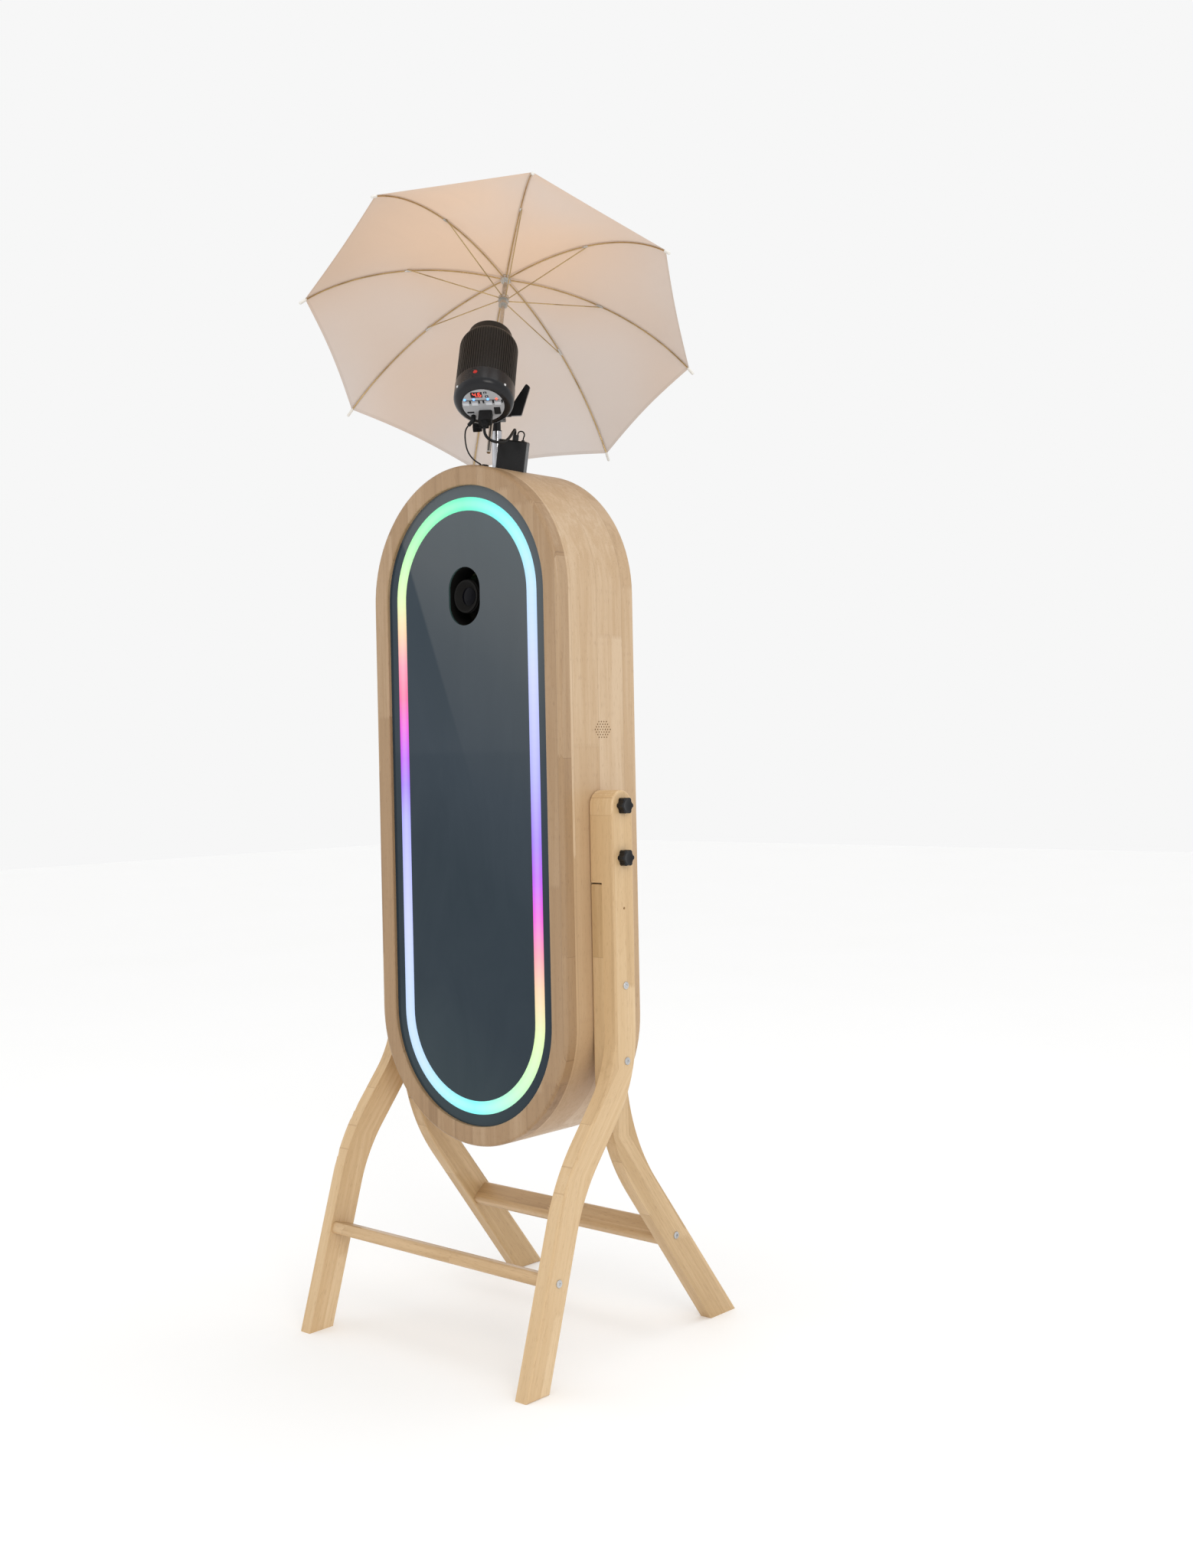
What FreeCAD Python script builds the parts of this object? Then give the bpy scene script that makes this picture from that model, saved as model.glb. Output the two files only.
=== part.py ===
import FreeCAD, Part

import math
import os

V = FreeCAD.Vector

# Oval mirror photo booth: a stadium-shaped wooden cabinet hung between two split-leg
# stands, with a studio strobe and a shoot-through umbrella on a short pole on top.
# Millimetres. Origin on the floor under the cabinet's centre, +X to the sitter's right
# of the mirror, -Y out of the mirror towards the sitter, +Z up.

# ---- cabinet ----
CABINET_WIDTH = 496.6
CABINET_HEIGHT = 1290.0
CABINET_DEPTH = 209.2
CABINET_CENTRE_Z = 1014.0
FRAME_THICKNESS = 28.0
FRAME_RING = 37.6
FRAME_ROUND = 7.0
FRAME_LIP_ROUND = 3.0
GLASS_RECESS = 8.0
GLASS_THICKNESS = 4.0
GLASS_LAP = 5.0
WALL_THICKNESS = 18.0
WALL_ROUND = 4.0
BACK_THICKNESS = 12.0
FIT_GAP = 0.3

# ---- light ring set into the mirror, and what looks through the mirror ----
RING_INSET = 22.4
RING_WIDTH = 24.6
RING_DEPTH = 10.0
WINDOW_WIDTH = 84.0
WINDOW_HEIGHT = 111.0
WINDOW_ABOVE_CENTRE = 399.0
SHROUD_WALL = 2.5
SHROUD_DEPTH = 46.0
LENS_RADIUS = 31.0
LENS_LENGTH = 52.0
CAMERA_SIZE = (128.0, 54.0, 92.0)
SCREEN_SIZE = (292.0, 20.0, 510.0)
SCREEN_BELOW_CENTRE = 40.0
COMPUTER_SIZE = (190.0, 52.0, 190.0)
INLET_SIZE = (50.0, 30.0, 28.0)

# ---- speaker holes, one cluster on each side wall ----
SPEAKER_ROWS = (4, 5, 6, 7, 6, 5, 4)
SPEAKER_PITCH_Y = 7.0
SPEAKER_PITCH_Z = 4.8
SPEAKER_HOLE_RADIUS = 1.6
SPEAKER_Y = 11.0
SPEAKER_ABOVE_CENTRE = 140.0
SPEAKER_RADIUS = 30.0
SPEAKER_DEPTH = 28.0

# ---- stand: on each side a front leg and a rear leg share one upright arm ----
SIDE_GAP = 0.5
BOARD_THICKNESS = 28.2
ARM_WIDTH = 57.0
ARM_Y = -4.5
NOTCH_Z = 874.0
NOTCH_GAP = 2.5
FRONT_KNEE_Z = (536.0, 512.0)
FRONT_SHIN = (-174.4, 361.0, -127.3, 325.5)
FRONT_FOOT_Y = (-284.5, -226.0)
FRONT_BEND_RADII = (200.0, 380.0, 320.0, 257.0)
REAR_KNEE_Z = (397.0, 411.6)
REAR_FOOT_Y = (265.5, 343.0)
REAR_BEND_RADII = (400.0, 380.0)
LEG_ROUND = 4.0
RAIL_HEIGHT = 187.0
RAIL_WIDTH = 48.0
RAIL_THICKNESS = 23.0
RAIL_ROUND = 7.0
PEG_HOLE = (827.0, 2.5, 12.0)
LEG_BOLTS_Z = (686.0, 548.0)
BOLT_HEAD_RADIUS = 7.15
BOLT_HEAD_HEIGHT = 2.2
BOLT_SHANK_RADIUS = 3.5
BOLT_SOCKET = 2.4
BOLT_CLEARANCE = 0.05

# ---- star knobs: the upper pair is the tilt pivot, the lower pair locks it ----
LOCK_BELOW_PIVOT = 95.0
TILT_RANGE = 5.0
KNOB_RADIUS = 15.8
KNOB_LOBES = 6
KNOB_THICKNESS = 14.0
STUD_RADIUS = 4.0
STUD_CLEARANCE = 0.3
STUD_IN_WALL = 14.0

# ---- light pole, bracket, lever, clamp ----
POLE_RADIUS = 9.75
POLE_WALL = 1.5
POLE_HEIGHT = 77.0
POLE_FLANGE = (17.5, 6.0)
SPIGOT_LENGTH = 40.0
RUNNING_FIT = 0.05
PIVOT_ABOVE_POLE = 38.0
SHAFT_ABOVE_PIVOT = 61.0
AIM_AZIMUTH = -36.2
AIM_ELEVATION = 55.2
YOKE_RADIUS = 13.0
YOKE_INNER = 9.2
YOKE_OUTER = 17.0
TONGUE_HALF = 9.0
LEVER_THICKNESS = 8.0
LEVER_HUB_RADIUS = 10.5
CLAMP_ABOVE_POLE = 10.0
CLAMP_KNOB = (28.5, 17.0, 8.5)

# ---- strobe, in the aimed frame: X across, Y along the beam, Z up from the shaft ----
STROBE_SIDE = -2.0
STROBE_ABOVE_SHAFT = 77.2
STROBE_RADIUS = 55.3
STROBE_FRONT_Y = 35.0
STROBE_REAR_Y = -149.0
END_CAP_LENGTH = 44.0
END_CAP_ROUND = 15.0
SHOULDER_Y = (-2.0, 14.0)
SHOULDER_RADIUS = 47.0
MOUTH_RADIUS = 42.0
MOUTH_BORE = 38.0
MOUTH_DEPTH = 30.0
FIN_COUNT = 72
FIN_DEPTH = 1.4
PANEL_RADIUS = 39.3
PANEL_THICKNESS = 2.5
KEYS_X = (-31.4, -14.7, 11.5, 27.9)
KEY_Z = 4.0
KEY_SIZE = (12.0, 6.0, 3.2)
KEY_PROUD = 1.4
KEY_GAP = 0.25
ROCKER_AT = (24.6, -13.6)
ROCKER_SIZE = (11.5, 16.0, 6.0)
SOCKET_AT = (2.0, -20.0)
PLUG_SIZE = (25.0, 24.0, 17.0)
JACK_AT = (-22.0, -26.0)
JACK_LENGTH = 11.0

# ---- umbrella, in the aimed frame ----
SHAFT_RADIUS = 4.0
SHAFT_END_Y = -193.0
HUB_Y = 292.5
HUB_RADIUS = 10.2
HUB_LENGTH = 9.0
FERRULE_LENGTH = 22.0
RIB_COUNT = 8
RIB_PHASE = 16.4
RIB_RADIUS = 1.25
RIB_TIP = (391.3, 175.1)
RIB_JOINT = (195.8, 27.4)
TIP_CAP = (3.0, 14.0)
RUNNER_DEPTH = 59.6
RUNNER_RADIUS = 10.7
RUNNER_LENGTH = 26.0
STRUT_RADIUS = 1.1
STRUT_OFFSET = 2.8
CANOPY_CLEAR = 2.0
CANOPY_THICKNESS = 0.8
CANOPY_RINGS = 12

# ---- receiver on the cabinet's top, and the leads, whose heights are above the arch's top ----
RECEIVER_X = 47.0
RECEIVER_Y = -11.0
RECEIVER_SIZE = (56.0, 27.0, 56.0)
RECEIVER_TURN = 30.0
PLUG_X, PLUG_HEIGHT = 2.0, 11.0
BOSS_X, BOSS_HEIGHT = 17.0, 2.5
RELIEF_LENGTH = 12.0
GLAND_X, GLAND_Y = 14.0, -57.0
GLAND_SIZE = (11.0, 14.0, 7.0)
POWER_LEAD_RADIUS = 2.7
SYNC_LEAD_RADIUS = 1.4
LOOP_LEAD_RADIUS = 1.3
SYNC_ELBOW = V(-9, -15, -8)
LEAD_OUT = 10.2
SYNC_OUT = 8.4
POWER_LEAD = [
    (94.8, -124.1, 38.8), (95.4, -115.3, 34.0), (95.1, -105.3, 32.2), (94.4, -94.6, 32.1),
    (93.0, -83.1, 33.5), (90.5, -71.7, 36.7), (87.0, -61.0, 41.3), (83.0, -51.4, 46.7),
    (78.8, -42.7, 52.3), (74.8, -35.0, 57.6), (71.3, -28.5, 62.1), (68.3, -23.1, 65.7),
]
POWER_BEND = [(0.2, -7.2, 20.2), (-0.1, -2.8, 19.0), (-0.2, 0.0, 15.5)]
SYNC_LEAD = [
    (42.9, -127.4, 49.8), (43.6, -128.1, 41.3), (45.0, -128.0, 31.2), (46.0, -126.7, 22.8),
    (47.9, -123.7, 14.1), (50.0, -119.3, 7.2), (51.8, -112.9, 1.9), (51.9, -105.8, -1.0),
    (50.1, -98.4, -2.1), (45.7, -91.1, -2.2), (38.3, -84.1, -1.4), (31.0, -78.3, -0.4),
    (23.6, -73.2, 0.9), (17.6, -68.8, 2.0), (14.0, -62.8, 2.5),
]
LOOP_LEAD = [(5.6, 15.2), (8.7, 18.5), (13.3, 19.0), (17.2, 16.6), (18.7, 12.4), (17.9, 8.6), (17.0, 5.6)]

# ---- worked out from the sizes above ----
HALF_WIDTH = CABINET_WIDTH / 2
HALF_STRAIGHT = (CABINET_HEIGHT - CABINET_WIDTH) / 2
ARCH_Z = CABINET_CENTRE_Z + HALF_STRAIGHT
ARCH_TOP = ARCH_Z + HALF_WIDTH
POLE_TOP_Z = ARCH_TOP + POLE_HEIGHT
TILT_PIVOT_Z = POLE_TOP_Z + PIVOT_ABOVE_POLE
SHAFT_CROSSING_Z = TILT_PIVOT_Z + SHAFT_ABOVE_PIVOT
CLAMP_Z = POLE_TOP_Z + CLAMP_ABOVE_POLE
FRONT_Y = -CABINET_DEPTH / 2
BACK_Y = CABINET_DEPTH / 2
FRAME_BACK_Y = FRONT_Y + FRAME_THICKNESS
GLASS_FRONT_Y = FRONT_Y + GLASS_RECESS
GLASS_BACK_Y = GLASS_FRONT_Y + GLASS_THICKNESS
WINDOW_Z = CABINET_CENTRE_Z + WINDOW_ABOVE_CENTRE
INLET_Z = CABINET_CENTRE_Z - 520
COMPUTER_Z = CABINET_CENTRE_Z - 180
OPENING_HALF = HALF_WIDTH - FRAME_RING
RING_OUTER = OPENING_HALF - RING_INSET
RING_INNER = RING_OUTER - RING_WIDTH
ARM_INNER_X = HALF_WIDTH + SIDE_GAP
BOARD_SPLIT_X = ARM_INNER_X + BOARD_THICKNESS
ARM_OUTER_X = BOARD_SPLIT_X + BOARD_THICKNESS
ARM_FRONT_Y = ARM_Y - ARM_WIDTH / 2
ARM_BACK_Y = ARM_Y + ARM_WIDTH / 2
SIDES = (("right", 1), ("left", -1))


def box(x0, x1, y0, y1, z0, z1):
    return Part.makeBox(x1 - x0, y1 - y0, z1 - z0, V(x0, y0, z0))


def rod(start, end, radius):
    along = end - start
    return Part.makeCylinder(radius, along.Length, start, along)


def mirrored(shape):
    return shape.mirror(V(0, 0, 0), V(1, 0, 0))


def on_side(shape, sign):
    return shape if sign > 0 else mirrored(shape)


def stadium(half_width, y0, y1, half_straight=HALF_STRAIGHT, centre_z=CABINET_CENTRE_Z):
    """Upright stadium prism between two depths."""
    low, high = centre_z - half_straight, centre_z + half_straight
    left_low, left_high = V(-half_width, y0, low), V(-half_width, y0, high)
    right_low, right_high = V(half_width, y0, low), V(half_width, y0, high)
    edges = [
        Part.LineSegment(left_low, left_high).toShape(),
        Part.Arc(left_high, V(0, y0, high + half_width), right_high).toShape(),
        Part.LineSegment(right_high, right_low).toShape(),
        Part.Arc(right_low, V(0, y0, low - half_width), left_low).toShape(),
    ]
    return Part.Face(Part.Wire(edges)).extrude(V(0, y1 - y0, 0))


def edges_where(shape, test):
    return [e for e in shape.Edges if all(test(v.Point) for v in e.Vertexes)]


def rounded_outline(points, radii):
    """Closed wire through the points with each corner turned by its own radius."""
    edges = []
    count = len(points)
    ends = []
    for i in range(count):
        here, before, after = points[i], points[i - 1], points[(i + 1) % count]
        if radii[i] == 0:
            ends.append((here, None, here))
            continue
        back, on = (before - here).normalize(), (after - here).normalize()
        half = back.getAngle(on) / 2
        reach = radii[i] / math.tan(half)
        middle = here + (back + on).normalize() * (radii[i] / math.sin(half) - radii[i])
        ends.append((here + back * reach, middle, here + on * reach))
    for i in range(count):
        start, middle, stop = ends[i]
        if middle is not None:
            edges.append(Part.Arc(start, middle, stop).toShape())
        edges.append(Part.LineSegment(stop, ends[(i + 1) % count][0]).toShape())
    return Part.Wire(edges)


def arch_cylinder(radius, y0, y1):
    """Cylinder along Y on the top arch's own axis."""
    return Part.makeCylinder(radius, y1 - y0, V(0, y0, ARCH_Z), V(0, 1, 0))


def lead(points, radius):
    """Round lead along straight runs joined by tangent arcs; also prints its arc radii."""
    edges, radii, last = [], [], points[0]
    for before, here, after in zip(points, points[1:], points[2:]):
        back, on = before - here, after - here
        shorter = min(back.Length, on.Length)
        back, on = back.normalize(), on.normalize()
        half_turn = (math.pi - back.getAngle(on)) / 2
        reach = 0.45 * shorter
        bend = reach / math.tan(half_turn)
        radii.append(bend)
        middle = here + (back + on).normalize() * (bend / math.cos(half_turn) - bend)
        start, stop = here + back * reach, here + on * reach
        edges.append(Part.LineSegment(last, start).toShape())
        edges.append(Part.Arc(start, middle, stop).toShape())
        last = stop
    edges.append(Part.LineSegment(last, points[-1]).toShape())
    path = Part.Wire(edges)
    section = Part.Wire([Part.Circle(points[0], points[1] - points[0], radius).toShape()])
    tube = path.makePipeShell([section], True, True)
    print("lead length %.1f, smallest arc %.1f, volume ratio %.4f" % (
        path.Length, min(radii), tube.Volume / (math.pi * radius**2 * path.Length)))
    return tube


# ---- cabinet ----

def front_frame():
    ring = stadium(HALF_WIDTH, FRONT_Y, FRAME_BACK_Y)
    ring = ring.cut(stadium(OPENING_HALF, FRONT_Y - 1, FRAME_BACK_Y + 1))
    ring = ring.cut(stadium(OPENING_HALF + GLASS_LAP + FIT_GAP, GLASS_FRONT_Y, FRAME_BACK_Y + 1))

    def outer_front(p):
        radial = math.hypot(p.x, max(abs(p.z - CABINET_CENTRE_Z) - HALF_STRAIGHT, 0))
        return abs(p.y - FRONT_Y) < 1e-6 and radial > HALF_WIDTH - 1

    def inner_front(p):
        radial = math.hypot(p.x, max(abs(p.z - CABINET_CENTRE_Z) - HALF_STRAIGHT, 0))
        return abs(p.y - FRONT_Y) < 1e-6 and radial < OPENING_HALF + 1

    ring = ring.makeFillet(FRAME_ROUND, edges_where(ring, outer_front))
    return ring.makeFillet(FRAME_LIP_ROUND, edges_where(ring, inner_front))


def walls():
    """Hollow band behind the frame, rounded at the back, cut into two arches and two boards."""
    band = stadium(HALF_WIDTH, FRAME_BACK_Y, BACK_Y)
    band = band.makeFillet(WALL_ROUND, edges_where(band, lambda p: abs(p.y - BACK_Y) < 1e-6))
    band = band.cut(stadium(HALF_WIDTH - WALL_THICKNESS, FRAME_BACK_Y - 1, BACK_Y + 1))
    reach = HALF_WIDTH + 10
    low, high = CABINET_CENTRE_Z - HALF_STRAIGHT, ARCH_Z
    top = band.common(box(-reach, reach, -reach, reach, high, high + reach))
    bottom = band.common(box(-reach, reach, -reach, reach, low - reach, low))
    boards = [band.common(box(0, reach, -reach, reach, low, high))]
    boards.append(mirrored(boards[0]))
    for sign, board in zip((1, -1), list(boards)):
        holes = []
        for row, count in enumerate(SPEAKER_ROWS):
            z = CABINET_CENTRE_Z + SPEAKER_ABOVE_CENTRE + (row - 3) * SPEAKER_PITCH_Z
            for i in range(count):
                y = SPEAKER_Y + (i - (count - 1) / 2) * SPEAKER_PITCH_Y
                start = V(sign * (HALF_WIDTH + 1), y, z)
                end = V(sign * (HALF_WIDTH - WALL_THICKNESS - 1), y, z)
                holes.append(rod(start, end, SPEAKER_HOLE_RADIUS))
        for drop in (0, LOCK_BELOW_PIVOT):
            start = V(sign * (HALF_WIDTH + 1), ARM_Y, CABINET_CENTRE_Z - drop)
            holes.append(rod(start, start - V(sign * (STUD_IN_WALL + 1.5), 0, 0), STUD_RADIUS + RUNNING_FIT))
        boards[0 if sign > 0 else 1] = board.cut(Part.makeCompound(holes))
    pole_hole = rod(V(0, 0, high), V(0, 0, POLE_TOP_Z), POLE_RADIUS + RUNNING_FIT)
    return Part.makeCompound([top.cut(pole_hole), bottom]), Part.makeCompound(boards)


def back_panel():
    panel = stadium(HALF_WIDTH - WALL_THICKNESS - FIT_GAP, BACK_Y - BACK_THICKNESS - 2, BACK_Y - 2)
    width, _, height = INLET_SIZE
    hole = box(-width / 2, width / 2, BACK_Y - 40, BACK_Y + 1, INLET_Z - height / 2, INLET_Z + height / 2)
    return panel.cut(hole)


def camera_window(grow, y0, y1):
    half = WINDOW_WIDTH / 2 + grow
    return stadium(half, y0, y1, (WINDOW_HEIGHT - WINDOW_WIDTH) / 2, WINDOW_Z)


def mirror_glass():
    outer = stadium(OPENING_HALF + GLASS_LAP, GLASS_FRONT_Y, GLASS_BACK_Y)
    outer = outer.cut(stadium(RING_OUTER + FIT_GAP, GLASS_FRONT_Y - 1, GLASS_BACK_Y + 1))
    centre = stadium(RING_INNER - FIT_GAP, GLASS_FRONT_Y, GLASS_BACK_Y)
    centre = centre.cut(camera_window(0, GLASS_FRONT_Y - 1, GLASS_BACK_Y + 1))
    return Part.makeCompound([outer, centre])


def led_ring():
    """Light ring: a diffuser flush with the mirror, on a wider channel behind the glass."""
    bar = stadium(RING_OUTER, GLASS_FRONT_Y, GLASS_BACK_Y + RING_DEPTH)
    bar = bar.fuse(stadium(RING_OUTER + 6, GLASS_BACK_Y, GLASS_BACK_Y + RING_DEPTH))
    hollow = stadium(RING_INNER, GLASS_FRONT_Y - 1, GLASS_BACK_Y)
    hollow = hollow.fuse(stadium(RING_INNER - 6, GLASS_BACK_Y, GLASS_BACK_Y + RING_DEPTH + 1))
    return bar.cut(hollow)


def touch_display():
    width, depth, height = SCREEN_SIZE
    z = CABINET_CENTRE_Z - SCREEN_BELOW_CENTRE
    panel = box(-width / 2, width / 2, GLASS_BACK_Y, GLASS_BACK_Y + depth, z - height / 2, z + height / 2)
    return panel.makeFillet(4, edges_where(panel, lambda p: p.y > GLASS_BACK_Y + 1))


def camera_shroud():
    tube = camera_window(SHROUD_WALL, GLASS_BACK_Y, GLASS_BACK_Y + SHROUD_DEPTH)
    flange = camera_window(SHROUD_WALL + 8, GLASS_BACK_Y, GLASS_BACK_Y + 2.5)
    return tube.fuse(flange).cut(camera_window(0, GLASS_BACK_Y - 1, GLASS_BACK_Y + SHROUD_DEPTH + 1))


def camera():
    """Stills camera behind the window, on a foot fixed to the back panel."""
    width, depth, height = CAMERA_SIZE
    y0 = GLASS_BACK_Y + SHROUD_DEPTH + 6
    body = box(-width / 2, width / 2, y0, y0 + depth, WINDOW_Z - height / 2, WINDOW_Z + height / 2)
    body = body.makeFillet(8, edges_where(body, lambda p: abs(p.y - y0) < 1e-6))
    lens = rod(V(0, y0 + 2, WINDOW_Z), V(0, y0 - LENS_LENGTH, WINDOW_Z), LENS_RADIUS)
    rim = Part.makeTorus(LENS_RADIUS - 1, 2.0, V(0, y0 - LENS_LENGTH + 6, WINDOW_Z), V(0, 1, 0))
    nose = V(0, y0 - LENS_LENGTH - 0.01, WINDOW_Z)
    cup = Part.makeCone(LENS_RADIUS - 3, LENS_RADIUS - 13, 9, nose, V(0, 1, 0))
    back = BACK_Y - BACK_THICKNESS - 2
    z = WINDOW_Z - height / 2
    foot = box(-30, 30, y0 + 4, back, z - 6, z)
    plate = box(-45, 45, back - 5, back, z - 46, z)
    return body.fuse([lens, rim, foot, plate]).cut(cup).removeSplitter()


def computer():
    width, depth, height = COMPUTER_SIZE
    back = BACK_Y - BACK_THICKNESS - 2
    case = box(-width / 2, width / 2, back - depth, back, COMPUTER_Z - height / 2, COMPUTER_Z + height / 2)
    slots = []
    for i in range(-4, 5):
        z = COMPUTER_Z + 12 * i
        slots.append(box(-60, 60, back - depth - 1, back - depth + 2, z - 2, z + 2))
    return case.cut(Part.makeCompound(slots))


def speakers():
    """A small driver behind each hole cluster."""
    drivers = []
    inner = HALF_WIDTH - WALL_THICKNESS
    z = CABINET_CENTRE_Z + SPEAKER_ABOVE_CENTRE
    for sign in (1, -1):
        start = V(sign * inner, SPEAKER_Y, z)
        basket = rod(start, start - V(sign * 5, 0, 0), SPEAKER_RADIUS)
        neck = start - V(sign * 5, 0, 0)
        cone = Part.makeCone(SPEAKER_RADIUS - 4, 12, SPEAKER_DEPTH - 13, neck, V(-sign, 0, 0))
        magnet = rod(start - V(sign * (SPEAKER_DEPTH - 8), 0, 0), start - V(sign * SPEAKER_DEPTH, 0, 0), 18)
        drivers.append(basket.fuse([cone, magnet]))
    return Part.makeCompound(drivers)


def power_inlet():
    width, depth, height = INLET_SIZE
    y1 = BACK_Y - 1.0
    half, tall = width / 2 - FIT_GAP, height / 2 - FIT_GAP
    body = box(-half, half, y1 - depth, y1, INLET_Z - tall, INLET_Z + tall)
    half, tall = width / 2 + 4, height / 2 + 4
    rim = box(-half, half, BACK_Y - 2, y1 + 1, INLET_Z - tall, INLET_Z + tall)
    return body.fuse(rim).cut(box(-12, 12, y1 - 16, y1 + 2, INLET_Z - 8, INLET_Z + 8))


# ---- stand ----

def side_profile(points, radii, x0, x1):
    outline = rounded_outline([V(x0, y, z) for y, z in points], radii)
    return Part.Face(outline).extrude(V(x1 - x0, 0, 0))


def front_leg():
    """Outer board, full thickness at the arm and rebated below the notch."""
    knee_front, knee_back = FRONT_KNEE_Z
    shin_front_y, shin_front_z, shin_back_y, shin_back_z = FRONT_SHIN
    foot_front, foot_back = FRONT_FOOT_Y
    top = CABINET_CENTRE_Z + ARM_WIDTH / 2
    round_top = ARM_WIDTH / 2 - 0.01
    points = [
        (ARM_FRONT_Y, top), (ARM_BACK_Y, top), (ARM_BACK_Y, knee_back), (shin_back_y, shin_back_z),
        (foot_back, 0), (foot_front, 0), (shin_front_y, shin_front_z), (ARM_FRONT_Y, knee_front),
    ]
    bend_front, shin_bend_front, shin_bend_back, bend_back = FRONT_BEND_RADII
    radii = [round_top, round_top, bend_back, shin_bend_back, 0, 0, shin_bend_front, bend_front]
    leg = side_profile(points, radii, ARM_INNER_X, ARM_OUTER_X)
    leg = leg.cut(box(ARM_INNER_X - 1, BOARD_SPLIT_X, -400, 400, -1, NOTCH_Z))
    leg = leg.makeFillet(LEG_ROUND, edges_where(
        leg, lambda p: abs(p.x - ARM_OUTER_X) < 1e-6 or abs(p.x - ARM_INNER_X) < 1e-6))
    z = CABINET_CENTRE_Z
    leg = leg.cut(rod(V(ARM_INNER_X - 1, ARM_Y, z), V(ARM_OUTER_X + 1, ARM_Y, z), STUD_RADIUS + RUNNING_FIT))
    leg = leg.cut(lock_slot(LOCK_BELOW_PIVOT, STUD_RADIUS + STUD_CLEARANCE))
    peg_z, peg_radius, peg_depth = PEG_HOLE
    leg = leg.cut(rod(V(ARM_OUTER_X + 1, ARM_Y, peg_z), V(ARM_OUTER_X - peg_depth, ARM_Y, peg_z), peg_radius))
    bolt_radius = BOLT_SHANK_RADIUS + BOLT_CLEARANCE
    for y, z in [(ARM_Y, z) for z in LEG_BOLTS_Z] + [(front_rail_y(), RAIL_HEIGHT)]:
        leg = leg.cut(rod(V(BOARD_SPLIT_X - 1, y, z), V(ARM_OUTER_X + 1, y, z), bolt_radius))
    return leg


def lock_slot(drop, half_width):
    """Arc slot round the pivot, long enough for the lock stud's whole swing."""
    inner = drop - half_width
    swing = TILT_RANGE + math.degrees(half_width / inner)
    corners = []
    for radius in (drop + half_width, inner):
        for tilt in (-swing, 0, swing):
            y, z = radius * math.sin(math.radians(tilt)), radius * math.cos(math.radians(tilt))
            corners.append(V(ARM_INNER_X - 1, ARM_Y + y, CABINET_CENTRE_Z - z))
    edges = [
        Part.Arc(*corners[:3]).toShape(), Part.LineSegment(corners[2], corners[5]).toShape(),
        Part.Arc(*corners[5:2:-1]).toShape(), Part.LineSegment(corners[3], corners[0]).toShape(),
    ]
    return Part.Face(Part.Wire(edges)).extrude(V(ARM_OUTER_X - ARM_INNER_X + 2, 0, 0))


def rear_leg():
    knee_front, knee_back = REAR_KNEE_Z
    foot_front, foot_back = REAR_FOOT_Y
    bend_front, bend_back = REAR_BEND_RADII
    top = NOTCH_Z - NOTCH_GAP
    points = [(ARM_FRONT_Y, top), (ARM_BACK_Y, top), (ARM_BACK_Y, knee_back), (foot_back, 0),
              (foot_front, 0), (ARM_FRONT_Y, knee_front)]
    leg = side_profile(points, [3, 3, bend_back, 0, 0, bend_front], ARM_INNER_X, BOARD_SPLIT_X)
    leg = leg.makeFillet(LEG_ROUND, edges_where(leg, lambda p: abs(p.x - ARM_INNER_X) < 1e-6))
    bolt_radius = BOLT_SHANK_RADIUS + BOLT_CLEARANCE
    for z in LEG_BOLTS_Z:
        leg = leg.cut(rod(V(BOARD_SPLIT_X - 20, ARM_Y, z), V(BOARD_SPLIT_X + 1, ARM_Y, z), bolt_radius))
    y = rear_rail_y()
    return leg.cut(rod(V(ARM_INNER_X - 1, y, RAIL_HEIGHT), V(BOARD_SPLIT_X + 1, y, RAIL_HEIGHT), bolt_radius))


def front_rail_y():
    shin_front_y, shin_front_z, shin_back_y, shin_back_z = FRONT_SHIN
    front = FRONT_FOOT_Y[0] + (shin_front_y - FRONT_FOOT_Y[0]) * RAIL_HEIGHT / shin_front_z
    back = FRONT_FOOT_Y[1] + (shin_back_y - FRONT_FOOT_Y[1]) * RAIL_HEIGHT / shin_back_z
    return (front + back) / 2


def rear_rail_y():
    front = REAR_FOOT_Y[0] + (ARM_FRONT_Y - REAR_FOOT_Y[0]) * RAIL_HEIGHT / REAR_KNEE_Z[0]
    back = REAR_FOOT_Y[1] + (ARM_BACK_Y - REAR_FOOT_Y[1]) * RAIL_HEIGHT / REAR_KNEE_Z[1]
    return (front + back) / 2


def rail(reach, y, lean):
    """Flat rung between the legs of a pair, square to the legs it joins."""
    bar = box(-reach, reach, -RAIL_WIDTH / 2, RAIL_WIDTH / 2, -RAIL_THICKNESS / 2, RAIL_THICKNESS / 2)
    bar = bar.makeFillet(RAIL_ROUND, [e for e in bar.Edges if e.Length > 2 * reach - 1])
    bar.rotate(V(0, 0, 0), V(1, 0, 0), lean)
    bar.translate(V(0, y, RAIL_HEIGHT))
    for sign in (1, -1):
        bar = bar.cut(rod(V(sign * (reach + 1), y, RAIL_HEIGHT), V(sign * (reach - 30), y, RAIL_HEIGHT),
                          BOLT_SHANK_RADIUS + BOLT_CLEARANCE))
    return bar


def front_rail():
    shin_front_y, shin_front_z = FRONT_SHIN[:2]
    lean = math.degrees(math.atan2(shin_front_y - FRONT_FOOT_Y[0], shin_front_z))
    return rail(BOARD_SPLIT_X, front_rail_y(), -lean)


def rear_rail():
    lean = math.degrees(math.atan2(REAR_FOOT_Y[0] - ARM_FRONT_Y, REAR_KNEE_Z[0]))
    return rail(ARM_INNER_X, rear_rail_y(), lean)


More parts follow.
